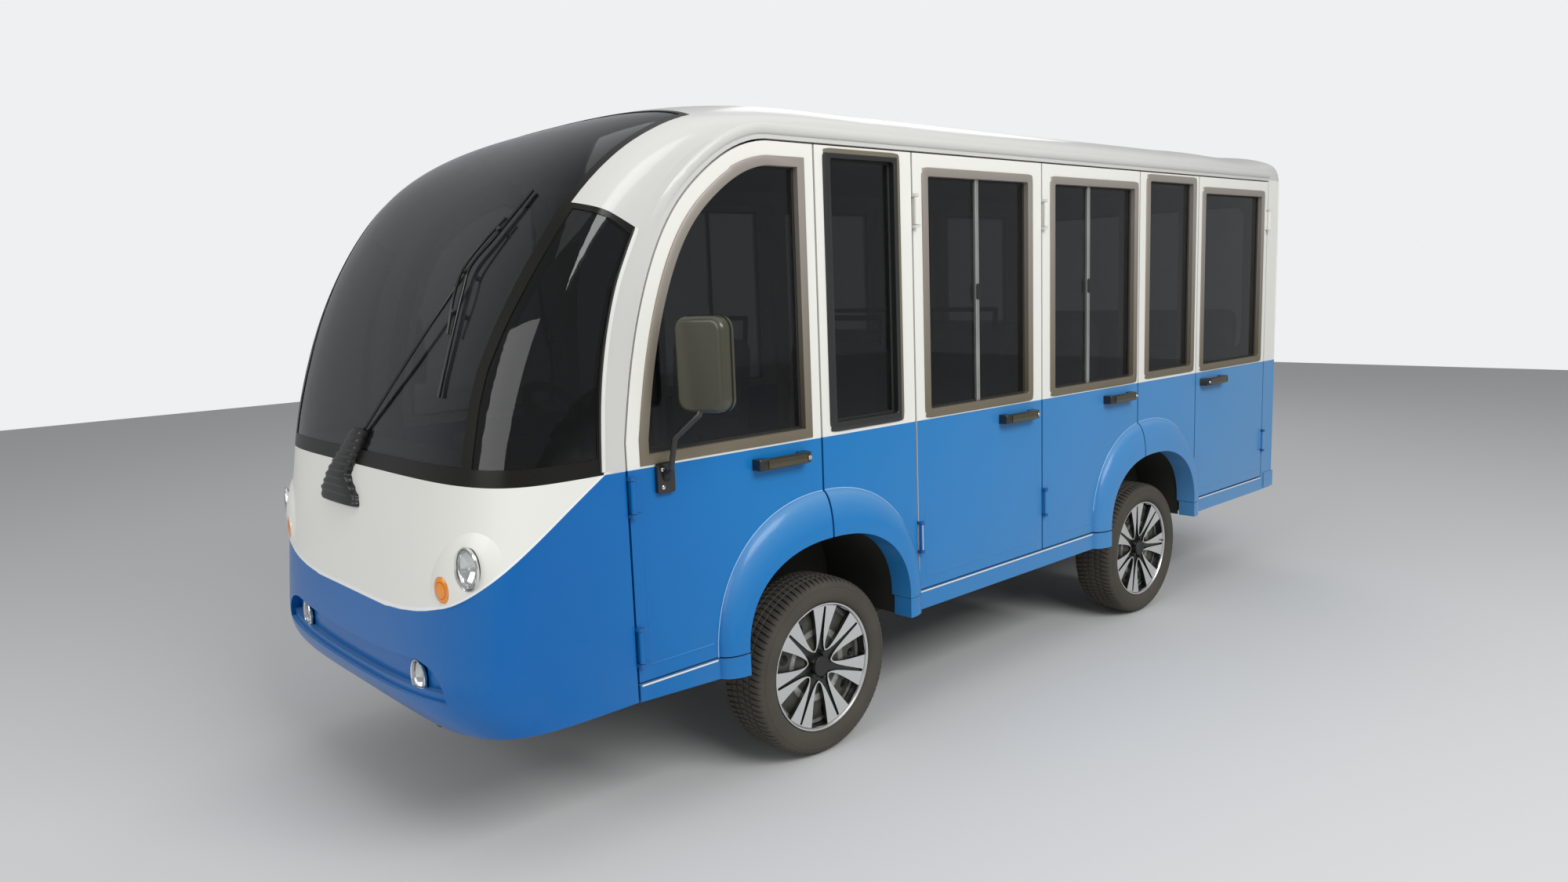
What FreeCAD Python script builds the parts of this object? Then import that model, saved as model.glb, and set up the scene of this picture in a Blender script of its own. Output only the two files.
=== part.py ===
import FreeCAD, Part
import math
import os

# Closed electric shuttle bus with eight side doors.
# Millimetres. +X is the vehicle's left, -Y its nose, +Z up, Z = 0 the ground.

V = FreeCAD.Vector
os.makedirs("parts", exist_ok=True)

# main sizes
HALF_W = 775.0
FRONT_AXLE_Y = -1048.0
REAR_AXLE_Y = 960.0
SKIRT_Z = 381.0
SILL_Z = 449.0
BELT_Z = 1044.0
DOOR_TOP_Z = 1933.0
EAVE_Z = 1969.0
ROOF_Z = 2096.0

# walls and gaps
SHELL_T = 40.0
GLASS_T = 8.0
SURROUND_T = 25.0
DOOR_T = 40.0
GAP = 8.0
FRAME_PROUD = 3.0

# wheels
TYRE_R = 292.0
TYRE_W = 185.0
RIM_R = 209.0
BEAD_R = 203.5
# half of the tyre's section, from the bead to the tread: out from its middle, radius
TYRE_SECTION = [(66.0, BEAD_R), (TYRE_W / 2, 243.0), (TYRE_W / 2 - 8.0, 279.0), (62.0, TYRE_R)]
SPOKE_PAIRS = 7
HUB_R = 50.0
FACE_X = (58.0, 72.0)
FACE_R = (50.0, 200.5)
FACE_T = 14.0
WINDOW_R = (57.0, 199.0)
WINDOW_HALF = 37.0
WINDOW_CURVE = 0.45
SLOT = [(40.0, 24.0), (62.0, 14.0), (85.0, 9.5), (120.0, 7.0), (197.0, 4.5)]
SLOT_DEEP = 7.0
SLOT_TURN = {"front": -19.0, "rear": -5.0}
WHEEL_X = 672.0
KINGPIN_X = 570.0

# joint lines along the side, front to rear; every edge stands half a gap from its line
LINE_Y = [-1781.0, -1048.0, -598.0, 148.0, 869.0, 1389.0, 2110.0]

# door 1 bow, from its front edge to its flat top
BOW = [(-1777, 1120), (-1740, 1343), (-1681, 1543), (-1567, 1747), (-1470, 1837), (-1356, 1905),
       (-1239, 1933)]

# wiper: cowl sections from the foot up as left x, right x, y on the skin, z; then arm and blade
WIPER_COWL = [(-232, 26, -2217, 926), (-240, 14, -2207, 980), (-176, 2, -2196, 1038), (-84, 32, -2183, 1092),
              (-22, 46, -2170, 1150)]
COWL_OUT = 24.0
WIPER_ARM = [(14, -2180, 1140), (140, -2156, 1247), (249, -2125, 1353), (334, -2088, 1450),
             (377, -2060, 1508), (418, -2014, 1589)]
WIPER_BLADE = [(527, -1860, 1797), (511, -1904, 1744), (474, -1956, 1673), (418, -2010, 1589),
               (428, -2035, 1537), (452, -2090, 1411), (460, -2142, 1261)]
ARM_R = 4.0
BLADE_R = 6.0

# windows: front, rear, bottom, top of the frame's outside
WINDOW2 = (-548.0, 84.0, 1050.0, 1888.0)
WINDOW3 = (204.0, 850.0, 1050.0, 1888.0)
WINDOW4 = (1422.0, 2064.0, 1050.0, 1888.0)
PANE1 = (-1009.0, -662.0, 1056.0, 1925.0)
PANE2 = (922.0, 1359.0, 1056.0, 1925.0)
FRAME_W = 27.0
BOW_FRAME = 42.0

# lamps: middle of the lens, half width, half height and depth of its drum, turn about the upright
HEADLAMP = (664.0, -2206.5, 842.5, 38.0, 54.0, 42.0, 15.0)
TURN_LAMP = (570.0, -2233.5, 777.5, 30.0, 36.0, 42.0, 12.0)
FOG_LAMP = (419.0, -2253.0, 513.0, 34.0, 46.0, 30.0, 4.0)
LAMP_RING = 4.0
LENS_BOW = 7.0
TAIL_LAMP = (560.0, 680.0, 700.0, 940.0)
REAR_WINDOW = (-600.0, 600.0, 1090.0, 1840.0)

# soft domes of the nose round headlamp and turn lamp: centre and radii
POD_CENTRE = (545.0, -2124.5, 754.5)
POD_RADII = (250.0, 108.5, 148.0)
POD_SLOPE = 53.7
POD_TURN = 6.6

# recess of the nose: lip, right end and top edge of its left half, and the ledge over the lip
MOUTH_LIP = [(-583, 477), (-453, 466), (-310, 456), (0, 448), (310, 456), (453, 466), (583, 477)]
MOUTH_END = [(583, 477), (568, 520), (543, 546), (504, 564), (443, 573)]
MOUTH_TOP = [(443, 573), (300, 562), (0, 553), (-300, 562), (-443, 573)]
MOUTH_DEEP = (12.0, 30.0)
LEDGE_H = 24.0
NOSE_RISE = [(440.0, 380.9), (560.0, 385.0), (680.0, 393.0), (790.0, 399.0)]

# front glass: half width over height, top end and bottom edge
SCREEN_EDGE = [(623, 1044), (622, 1150), (618, 1250), (620, 1330), (638, 1430), (657, 1520), (676, 1629),
               (688, 1751), (700, 1860), (706, 1950), (700, 2010), (700, 2200)]
SCREEN_TOP_Y = -1450.0
QUARTER_EDGE = [(-1852, 1044), (-1848, 1137), (-1838, 1260), (-1822, 1359), (-1773, 1534), (-1703, 1681),
                (-1781, 1724), (-1846, 1752), (-2000, 1800), (-2400, 1800), (-2400, 1044)]
GLASS_FOOT_Z = 1088.0

# rows of the shell, as a point on the centre line, a point on the shoulder and the bow's power
# y and z of the centre, y and z of the shoulder, power
NOSE_ROWS = [(-2226, 381, -1838, 381, 4.9), (-2262, 440, -1846, 440, 4.9), (-2266, 560, -1848, 560, 4.9),
             (-2241, 780, -1848, 780, 4.9), (-2194, 1044, -1848, 1044, 4.9)]
SCREEN_ROWS = [(-2194, 1044, -1848, 1044, 4.9), (-2128, 1300, -1838, 1250, 4.8),
               (-2018, 1560, -1790, 1470, 4.5), (-1880, 1780, -1700, 1680, 3.9),
               (-1745, 1920, -1590, 1826, 3.3), (-1570, 2020, -1470, 1910, 2.8),
               (-1320, 2078, -1310, 1953, 2.5), (-1000, 2096, -1000, 1969, 2.5),
               (-640, 2096, -640, 1969, 2.5)]
# tail: start of the roof's fall, foot of the bend, centre and shoulder at the back, powers
ROOF_END_Y = 1300.0
TAIL_START_Y = 2020.0
TAIL_BEND_Z = 1890.0
TAIL_CENTRE_Y = 2264.0
TAIL_SHOULDER_Y = 2215.0
TAIL_POWER = 3.6
ROOF_POWER = 2.5
BACK_POWER = 5.0
TAIL_ANGLES = (0, 8, 20, 36, 54, 72)
TAIL_FALL = (1890.0, 1780.0, 1600.0, 1300.0, 1000.0, 700.0)
HALF_COLUMNS = 7
TURN_WEIGHT = 250.0

# wheel arches
ARCH_HALF = 361.0
ARCH_TOP = 732.0
ARCH_KNEE = 450.0
ARCH_POWER = 2.3
ARCH_STEPS = 12
FLARE_HALF = 450.0
FLARE_TOP = 878.0
FLARE_POWER = 2.2
FLARE_X0 = 768.0
FLARE_OUT = 47.0
LIP_W = 14.0
BUMPER_OUT = 6.0
BUMPER_Z = (385.0, 465.0)
BUMPER_Y = 2140.0
LIP_OUT = 9.0
LIP_HALF = 17.0
LIP_RISE = 35.0

# door fittings and posts
HANDLE_L = 215.0
AXLE_Z = TYRE_R
SPINDLE_R = 22.0
GEAR_X = 60.0
RAIL_X = 350.0
RAIL_Y = (-2120.0, 2150.0)
RAIL_Z = (330.0, 430.0)
FLOOR_T = 16.0
TOW_R = 14.0
SILL_T = 36.0
SEAT_Z = 756.0
SEAT_LEAN = 5.0
JACK_Y = (-580.0, 515.0)
JACK_PAD = 12.0
SLIDER_Y = {2: -237.0, 3: 490.0}
SEAT_D = 400.0
CUSHION_T = 110.0
BACK_T = 95.0
BACK_TOP = 570.0
HINGE_X = 787.0
HINGE_R = 8.0
HINGE_L = 88.0
LOW_HINGES = (555.0, 972.0)
TALL_HINGES = (640.0, 1745.0)
PIN_R = 4.0
HINGE_EYE = 10.0
PIN_PLAY = 0.06
HINGE_SHIFT = 9.0
POST_X0 = 686.0
POST_X1 = 728.0
POST_W = 42.0
POST_RAIL = 60.0
RAIL_TOP_Z = 1946.0
LINER_OUT = 12.0
FRONT_LINER_X = 400.0
REAR_LINER_X = 520.0


def box(x0, x1, y0, y1, z0, z1):
    return Part.makeBox(x1 - x0, y1 - y0, z1 - z0, V(x0, y0, z0))


def cylinder(radius, start, direction, length):
    return Part.makeCylinder(radius, length, V(*start), V(*direction))


def tube_along(points, radius):
    body = None
    for a, b in zip(points[:-1], points[1:]):
        step = V(*b).sub(V(*a))
        piece = Part.makeCylinder(radius, step.Length, V(*a), step)
        body = piece if body is None else body.fuse(piece)
    for p in points[1:-1]:
        body = body.fuse(Part.makeSphere(radius, V(*p)))
    return body.removeSplitter()


def mirror_x(shape):
    return shape.mirror(V(0, 0, 0), V(1, 0, 0))


def both_sides(shape):
    return Part.makeCompound([shape, mirror_x(shape)])


def prism_x(points, x0, x1):
    wire = Part.makePolygon([V(x0, y, z) for y, z in points + points[:1]])
    return Part.Face(wire).extrude(V(x1 - x0, 0, 0))


def prism_y(points, y0, y1):
    wire = Part.makePolygon([V(x, y0, z) for x, z in points + points[:1]])
    return Part.Face(wire).extrude(V(0, y1 - y0, 0))


def smooth_edge(points):
    curve = Part.BSplineCurve()
    curve.interpolate([V(*p) for p in points])
    return curve.toShape()


def closed_face(chains):
    # each chain with more than two points is a smooth curve, the others are straight
    edges = []
    for chain in chains:
        if len(chain) == 2:
            edges.append(Part.makeLine(V(*chain[0]), V(*chain[1])))
        else:
            edges.append(smooth_edge(chain))
    return Part.Face(Part.Wire(Part.sortEdges(edges)[0]))


def rounded_rect_x(y0, y1, z0, z1, radius, x0, x1):
    body = box(min(x0, x1), max(x0, x1), y0, y1, z0, z1)
    edges = [e for e in body.Edges if abs(abs(e.tangentAt(e.FirstParameter).x) - 1) < 1e-6]
    return body.makeFillet(radius, edges)


def rounded_rect_y(x0, x1, z0, z1, radius, y0, y1):
    body = box(x0, x1, min(y0, y1), max(y0, y1), z0, z1)
    edges = [e for e in body.Edges if abs(abs(e.tangentAt(e.FirstParameter).y) - 1) < 1e-6]
    return body.makeFillet(radius, edges)


def rounded_block(x0, x1, y0, y1, z0, z1, radius):
    body = box(x0, x1, y0, y1, z0, z1)
    return body.makeFillet(radius, body.Edges)


# shell surface: rows of superellipse arcs between a centre point and two shoulder points

def arc_row(row, half_w):
    # half the arc from the left shoulder to the centre, then its mirror image
    centre_y, centre_z, shoulder_y, shoulder_z, power = row
    dense = []
    for i in range(181):
        angle = 0.5 * math.pi * i / 180.0
        c = math.cos(angle)
        s = math.sin(angle)
        r = (c ** power + s ** power) ** (-1.0 / power)
        y = shoulder_y + (centre_y - shoulder_y) * s * r
        z = shoulder_z + (centre_z - shoulder_z) * s * r
        dense.append(V(half_w * c * r, y, z))
    # even steps of length plus turning, so that tight bends get more points
    lengths = [0.0]
    for i in range(1, len(dense)):
        run = dense[i].sub(dense[i - 1])
        before = dense[i - 1].sub(dense[i - 2]) if i > 1 else run
        lengths.append(lengths[-1] + run.Length + TURN_WEIGHT * run.getAngle(before))
    left = [V(half_w, shoulder_y, shoulder_z)]
    k = 0
    for j in range(1, HALF_COLUMNS):
        target = lengths[-1] * j / HALF_COLUMNS
        while lengths[k + 1] < target:
            k += 1
        t = (target - lengths[k]) / (lengths[k + 1] - lengths[k])
        left.append(dense[k].add(dense[k + 1].sub(dense[k]) * t))
    left.append(V(0, centre_y, centre_z))
    right = [V(-p.x, p.y, p.z) for p in reversed(left[:-1])]
    return left + right


def tail_rows(depth, low_z):
    # the roof bends down into the back along a superellipse, then falls straight to the skirt
    top_z = ROOF_Z - depth
    eave_z = EAVE_Z - depth
    centre_y = TAIL_CENTRE_Y - depth
    shoulder_y = TAIL_SHOULDER_Y - depth
    middle_y = 0.5 * (ROOF_END_Y + TAIL_START_Y)
    rows = [(y, top_z, y, eave_z, ROOF_POWER) for y in (ROOF_END_Y, middle_y)]
    for degrees in TAIL_ANGLES:
        over = math.sin(math.radians(degrees)) ** (2.0 / TAIL_POWER)
        up = math.cos(math.radians(degrees)) ** (2.0 / TAIL_POWER)
        rows.append((TAIL_START_Y + (centre_y - TAIL_START_Y) * over,
                     TAIL_BEND_Z + (top_z - TAIL_BEND_Z) * up,
                     TAIL_START_Y + (shoulder_y - TAIL_START_Y) * over,
                     TAIL_BEND_Z + (eave_z - TAIL_BEND_Z) * up,
                     ROOF_POWER + (BACK_POWER - ROOF_POWER) * degrees / 90.0))
    for z in TAIL_FALL + (low_z,):
        rows.append((centre_y, z, shoulder_y, z, BACK_POWER))
    return rows


def inset(rows, depth, low_z):
    # each row moved inwards along the profile's normal
    moved = []
    last = len(rows) - 1
    for i, row in enumerate(rows):
        before = rows[max(i - 1, 0)]
        after = rows[min(i + 1, last)]
        point = []
        for k in (0, 2):
            dy = after[k] - before[k]
            dz = after[k + 1] - before[k + 1]
            length = math.hypot(dy, dz)
            point += [row[k] + depth * dz / length, row[k + 1] - depth * dy / length]
        if row[1] == SKIRT_Z:
            point[1] = low_z
            point[3] = low_z
        if row[1] == ROOF_Z:
            point = [row[0], row[1] - depth, row[2], row[3] - depth]
        moved.append(tuple(point) + (row[4],))
    return moved


def spline_through(points, marks):
    curve = Part.BSplineCurve()
    curve.interpolate(Points=points, Parameters=marks)
    return curve


def shell_surface(rows, half_w):
    # skin the rows: fit each row, then fit each column of their poles
    across = [float(j) for j in range(2 * HALF_COLUMNS + 1)]
    along = [0.0]
    for a, b in zip(rows[:-1], rows[1:]):
        centre_run = math.hypot(b[0] - a[0], b[1] - a[1])
        shoulder_run = math.hypot(b[2] - a[2], b[3] - a[3])
        along.append(along[-1] + 0.5 * (centre_run + shoulder_run))
    fitted = [spline_through(arc_row(row, half_w), across) for row in rows]
    columns = []
    for j in range(fitted[0].NbPoles):
        columns.append(spline_through([curve.getPole(j + 1) for curve in fitted], along))
    poles = []
    for i in range(columns[0].NbPoles):
        poles.append([column.getPole(i + 1) for column in columns])
    surface = Part.BSplineSurface()
    surface.buildFromPolesMultsKnots(poles, columns[0].getMultiplicities(), fitted[0].getMultiplicities(),
                                     columns[0].getKnots(), fitted[0].getKnots(), False, False,
                                     columns[0].Degree, fitted[0].Degree)
    return surface.toShape()


def sorted_edges(face):
    # the rows that cross the vehicle, lowest first, and the side edges, left first
    rows = []
    sides = []
    for e in face.Edges:
        ends = [v.Point for v in e.Vertexes]
        if abs(ends[0].x - ends[-1].x) < 1.0:
            sides.append(e)
        else:
            rows.append(e)
    rows.sort(key=lambda e: e.Vertexes[0].Point.z)
    sides.sort(key=lambda e: -e.Vertexes[0].Point.x)
    return rows, sides


def end_point(edge, sign):
    points = [v.Point for v in edge.Vertexes]
    points.sort(key=lambda p: -sign * p.x)
    return points[0]


def flat_face(origin, normal, edges):
    wire = Part.Wire(Part.sortEdges(edges, 0.01)[0])
    return Part.Face(Part.Plane(origin, normal), wire)


def envelope(depth, drop=0.0):
    # the closed body form, moved inwards by depth; its floor lies lower by drop
    half = HALF_W - depth
    floor_z = SKIRT_Z - drop
    joined = NOSE_ROWS[:-1] + SCREEN_ROWS
    front = inset(joined, depth, floor_z)
    nose = shell_surface(front[:len(NOSE_ROWS)], half)
    screen = shell_surface(front[len(NOSE_ROWS) - 1:], half)
    tail = shell_surface(tail_rows(depth, floor_z), half)
    nose_rows, nose_sides = sorted_edges(nose)
    screen_rows, screen_sides = sorted_edges(screen)
    back_rows, back_sides = sorted_edges(tail)
    roof_run = V(0, ROOF_END_Y - SCREEN_ROWS[-1][0], 0)
    roof_end = screen_rows[1].copy()
    roof_end.translate(roof_run)
    roof = Part.makeRuledSurface(screen_rows[1], roof_end)
    faces = [nose, screen, roof, tail]
    for k, sign in ((0, 1), (1, -1)):
        front_low = end_point(nose_rows[0], sign)
        front_high = end_point(screen_rows[1], sign)
        back_low = end_point(back_rows[0], sign)
        loop = [nose_sides[k], screen_sides[k], Part.makeLine(front_high, front_high.add(roof_run)),
                back_sides[k], Part.makeLine(back_low, front_low)]
        faces.append(flat_face(front_low, V(1, 0, 0), loop))
    loop = [nose_rows[0], back_rows[0]]
    for sign in (1, -1):
        loop.append(Part.makeLine(end_point(nose_rows[0], sign), end_point(back_rows[0], sign)))
    faces.append(flat_face(V(0, 0, floor_z), V(0, 0, 1), loop))
    sewn = Part.makeCompound(faces)
    sewn.sewShape(0.01)
    solid = Part.makeSolid(sewn.Shells[0])
    if solid.Volume < 0:
        solid.reverse()
    return solid


def bow_points(depth):
    # the bow moved inwards by depth along its normal
    moved = []
    last = len(BOW) - 1
    for i, (y, z) in enumerate(BOW):
        before = BOW[max(i - 1, 0)]
        after = BOW[min(i + 1, last)]
        dy = after[0] - before[0]
        dz = after[1] - before[1]
        if i == 0:
            dy, dz = 0.0, 1.0
        if i == last:
            dy, dz = 1.0, 0.0
        length = math.hypot(dy, dz)
        moved.append((y + depth * dz / length, z - depth * dy / length))
    return moved


def bow_prism(depth, rear_y, low_z, x0, x1):
    # the form of door 1 or of its window: straight front edge, bow, flat top, straight rear edge
    points = [(x0, y, z) for y, z in bow_points(depth)]
    front = (x0, points[0][1], low_z)
    top = points[-1]
    rear = (x0, rear_y, top[2])
    low = (x0, rear_y, low_z)
    face = closed_face([[front, points[0]], points, [top, rear], [rear, low], [low, front]])
    return face.extrude(V(x1 - x0, 0, 0))


def arch_points(half_w, top_z, knee_z, power, x):
    # one half ellipse like bow over the wheel, standing on two uprights
    points = []
    for i in range(ARCH_STEPS + 1):
        angle = math.pi * i / ARCH_STEPS
        c = math.cos(angle)
        s = math.sin(angle)
        across = math.copysign(abs(c) ** (2.0 / power), c)
        up = abs(s) ** (2.0 / power)
        points.append((x, -half_w * across, knee_z + (top_z - knee_z) * up))
    points[0] = (x, -half_w, knee_z)
    points[-1] = (x, half_w, knee_z)
    return points


def arch_wire(half_w, top_z, knee_z, power, x, foot_z):
    bow = arch_points(half_w, top_z, knee_z, power, x)
    left_foot = (x, -half_w, foot_z)
    right_foot = (x, half_w, foot_z)
    edges = [Part.makeLine(V(*left_foot), V(*bow[0])), smooth_edge(bow),
             Part.makeLine(V(*bow[-1]), V(*right_foot)), Part.makeLine(V(*right_foot), V(*left_foot))]
    return Part.Wire(edges)


def arch_prism(grow, x0, x1, axle_y, foot_z=200.0):
    wire = arch_wire(ARCH_HALF + grow, ARCH_TOP + grow, ARCH_KNEE, ARCH_POWER, x0, foot_z)
    prism = Part.Face(wire).extrude(V(x1 - x0, 0, 0))
    prism.translate(V(0, axle_y, 0))
    return prism


def flare(axle_y):
    # domed lip round the wheel opening, lofted from the panel out to the lip
    wires = []
    for degrees in (0, 25, 50, 72, 90):
        out = math.sin(math.radians(degrees))
        fall = 1.0 - math.cos(math.radians(degrees))
        half_w = FLARE_HALF - (FLARE_HALF - ARCH_HALF - LIP_W) * fall
        top_z = FLARE_TOP - (FLARE_TOP - ARCH_TOP - LIP_W) * fall
        wires.append(arch_wire(half_w, top_z, ARCH_KNEE, FLARE_POWER, FLARE_X0 + FLARE_OUT * out, SKIRT_Z))
    dome = Part.makeLoft(wires, True, False)
    dome.translate(V(0, axle_y, 0))
    return dome.cut(arch_prism(0.0, FLARE_X0 - 10.0, FLARE_X0 + 2 * FLARE_OUT, axle_y))


def side_slab(line_a, line_b, low_z, inner_x=HALF_W - DOOR_T):
    front = LINE_Y[line_a] + GAP / 2
    return box(inner_x, HALF_W, front, LINE_Y[line_b] - GAP / 2, low_z, DOOR_TOP_Z)


def window_ring(window, x0, x1):
    y0, y1, z0, z1 = window
    outside = rounded_rect_x(y0, y1, z0, z1, 14.0, x0, x1)
    inside = rounded_rect_x(y0 + FRAME_W, y1 - FRAME_W, z0 + FRAME_W, z1 - FRAME_W, 10.0, x0 - 1, x1 + 1)
    return outside, inside


def framed(slab, window):
    # cut the window and stand its frame a little proud of the skin
    outside, inside = window_ring(window, slab.BoundBox.XMin, HALF_W + FRAME_PROUD)
    return slab.fuse(outside).cut(inside)


def grip(rear_y, z=998.0):
    # pull handle: a bowed bar on two feet
    front_y = rear_y - HANDLE_L
    x0 = HALF_W - 2.0
    outline = [V(x0, front_y, 0), V(x0 + 34, front_y + 6, 0), V(x0 + 40, front_y + 30, 0),
               V(x0 + 40, rear_y - 30, 0), V(x0 + 34, rear_y - 6, 0), V(x0, rear_y, 0),
               V(x0, rear_y - 34, 0), V(x0 + 24, rear_y - 44, 0), V(x0 + 24, front_y + 44, 0),
               V(x0, front_y + 34, 0)]
    bar = Part.Face(Part.makePolygon(outline + outline[:1])).extrude(V(0, 0, 30))
    bar.translate(V(0, 0, z - 15))
    uprights = [e for e in bar.Edges if abs(abs(e.tangentAt(e.FirstParameter).z) - 1) < 1e-6]
    return bar.makeFillet(3.0, uprights)


def hinged(door, line_y, heights, side=1.0):
    # the door's half of each hinge: a bored barrel on a web, with a leaf on the skin
    # side is 1 where the door lies behind its line and -1 where it lies in front
    axis_y = line_y + side * HINGE_SHIFT
    leaf_y = sorted((axis_y, axis_y + side * 32.0))
    for z in heights:
        low = z - HINGE_L / 2
        high = z + HINGE_L / 2
        barrel = cylinder(HINGE_R, (HINGE_X, axis_y, low), (0, 0, 1), HINGE_L)
        leaf = box(HALF_W - 1.0, HALF_W + 4.0, leaf_y[0], leaf_y[1], low, high)
        web = box(HALF_W, HINGE_X, axis_y - 4.0, axis_y + 4.0, low, high)
        door = door.fuse([barrel, leaf, web])
        door = door.cut(cylinder(PIN_R + PIN_PLAY, (HINGE_X, axis_y, low - HINGE_L), (0, 0, 1), 3 * HINGE_L))
    return door


def hinge_pin(line_y, z, side=1.0):
    # the body's half: a pin between two eyes on plates that come out through the gap
    axis_y = line_y + side * HINGE_SHIFT
    half = HINGE_L / 2 + HINGE_EYE + 2.0
    parts = [cylinder(PIN_R, (HINGE_X, axis_y, z - half), (0, 0, 1), 2 * half)]
    for low in (z - half, z + half - HINGE_EYE):
        parts.append(cylinder(HINGE_R, (HINGE_X, axis_y, low), (0, 0, 1), HINGE_EYE))
        parts.append(box(POST_X1 - 6, HINGE_X, line_y - 1.2, line_y + 1.2, low, low + HINGE_EYE))
        parts.append(box(HINGE_X - 6, HINGE_X + 2, min(line_y, axis_y), max(line_y, axis_y),
                         low, low + HINGE_EYE))
    return parts[0].fuse(parts[1:])


def outline_prism_y(half_edge, y0, y1, low_z, shift=0.0):
    # form between the left edge curve and its mirror image, extruded along Y
    right = [(x + shift, z) for x, z in half_edge]
    right[0] = (right[0][0], low_z)
    return prism_y(right + [(-x, z) for x, z in reversed(right)], y0, y1)


def screen_zone(shift, top_shift, low_z):
    # the windscreen's zone: front outline crossed with a plan outline that rounds its top corners
    front = outline_prism_y(SCREEN_EDGE, -2400.0, -1200.0, low_z, shift)
    rear = SCREEN_TOP_Y + top_shift
    plan = box(-900.0, 900.0, -2400.0, rear, low_z - 1.0, 2300.0)
    half = SCREEN_EDGE[-2][0] + shift
    for sign in (1, -1):
        x_corner = sign * half
        corner_box = box(min(x_corner, sign * 900), max(x_corner, sign * 900), rear - 45.0, rear + 1.0,
                         1990.0, 2300.0)
        plan = plan.cut(corner_box)
    return front.common(plan)


def quarter_zone(depth, low_z):
    # zone of the corner glass, seen from the side, moved inwards by depth
    points = []
    for y, z in QUARTER_EDGE:
        points.append([y, z])
    for i in range(6):
        points[i][0] -= depth
    for i in range(5, 10):
        points[i][1] -= depth
    points[0][1] = low_z
    points[-1][1] = low_z
    return prism_x([tuple(p) for p in points], -900.0, 900.0)


def nose_recess(outer):
    # shallow ledge over the lip and a deeper part above it
    chains = []
    for chain in (MOUTH_LIP, MOUTH_END, MOUTH_TOP, [(-x, z) for x, z in reversed(MOUTH_END)]):
        chains.append([(x, -2400.0, z) for x, z in chain])
    mouth = closed_face(chains).extrude(V(0, 400, 0))
    ledge = [(x, -2401.0, z + LEDGE_H) for x, z in MOUTH_LIP]
    sides = [(ledge[-1][0] + 50, ledge[-1][1], ledge[-1][2]), (ledge[0][0] - 50, ledge[0][1], ledge[0][2])]
    low = [(x, y, MOUTH_LIP[3][1] - 60.0) for x, y, z in sides]
    under = closed_face([ledge, [ledge[-1], sides[0]], [sides[0], low[0]], [low[0], low[1]],
                         [low[1], sides[1]], [sides[1], ledge[0]]]).extrude(V(0, 402, 0))
    shallow = outer.cut(envelope(MOUTH_DEEP[0])).common(mouth)
    deep = outer.cut(envelope(MOUTH_DEEP[1])).common(mouth).cut(under)
    return shallow, deep


def nose_rise():
    # the nose's lower edge climbs towards its corners
    curve = [(x, -2400.0, z) for x, z in NOSE_RISE]
    low = [(x, y, SKIRT_Z - 20.0) for x, y, z in (curve[0], curve[-1])]
    wedge = closed_face([curve, [curve[-1], low[1]], [low[1], low[0]], [low[0], curve[0]]])
    return wedge.extrude(V(0, 2400.0 + LINE_Y[0], 0))


def lamp_pod():
    # long swelling that carries the headlamp and the turn lamp, seated flat around each
    pod = ellipsoid((0, 0, 0), POD_RADII)
    pod.rotate(V(0, 0, 0), V(0, 1, 0), -POD_SLOPE)
    pod.rotate(V(0, 0, 0), V(0, 0, 1), POD_TURN)
    pod.translate(V(*POD_CENTRE))
    rings = []
    for x, y, z, half_w, half_h, depth, turn_deg in (HEADLAMP, TURN_LAMP):
        ring = oval_drum(half_w + LAMP_RING, half_h + LAMP_RING, 80.0)
        ring.translate(V(0, LENS_BOW + 1.0 - 80.0, 0))
        rings.append(placed_lamp(ring, x, y, z, turn_deg))
    return pod.cut(rings)


def make_nose(outer, wall, lamps):
    # lower front: pods for the lamps, recess, and a seat for each lamp
    inner = envelope(SHELL_T, 60.0)
    nose = wall.common(box(-900, 900, -2400, LINE_Y[0] - 3.0, SKIRT_Z - 1, BELT_Z))
    pod = lamp_pod().cut(inner)
    nose = nose.fuse([pod, mirror_x(pod)])
    shallow, deep = nose_recess(outer)
    rise = nose_rise()
    seats = lamps + [mirror_x(part) for part in lamps]
    return nose.cut([shallow, deep, rise, mirror_x(rise)] + seats)


def roof_lip():
    # soft drip lip of the left side: it grows out of the front pillar and runs straight to the tail
    path = bow_points(-LIP_RISE)[2:]
    sections = []
    for i, (y, z) in enumerate(path):
        grown = math.sin(0.5 * math.pi * i / (len(path) - 1))
        before = path[max(i - 1, 0)]
        after = path[min(i + 1, len(path) - 1)]
        along = V(0, after[0] - before[0], after[1] - before[1])
        if i == len(path) - 1:
            along = V(0, 1, 0)
        ring = Part.Ellipse(V(0, 0, 0), LIP_HALF, 2.0 + LIP_OUT * grown).toShape()
        wire = Part.Wire([ring])
        wire.Placement = FreeCAD.Placement(V(HALF_W - 2.0, y, z), lip_rotation(along))
        sections.append(wire)
    bend = Part.makeLoft(sections, True, False)
    straight = Part.Face(sections[-1]).extrude(V(0, LINE_Y[6] + 4.0 - path[-1][0], 0))
    return bend.fuse(straight)


def lip_rotation(along):
    # turns the ellipse's normal into the path and its short axis towards +X
    normal = V(along)
    normal.normalize()
    short = V(1, 0, 0)
    long_axis = short.cross(normal)
    return FreeCAD.Rotation(long_axis, short, normal, "ZXY")


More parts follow.
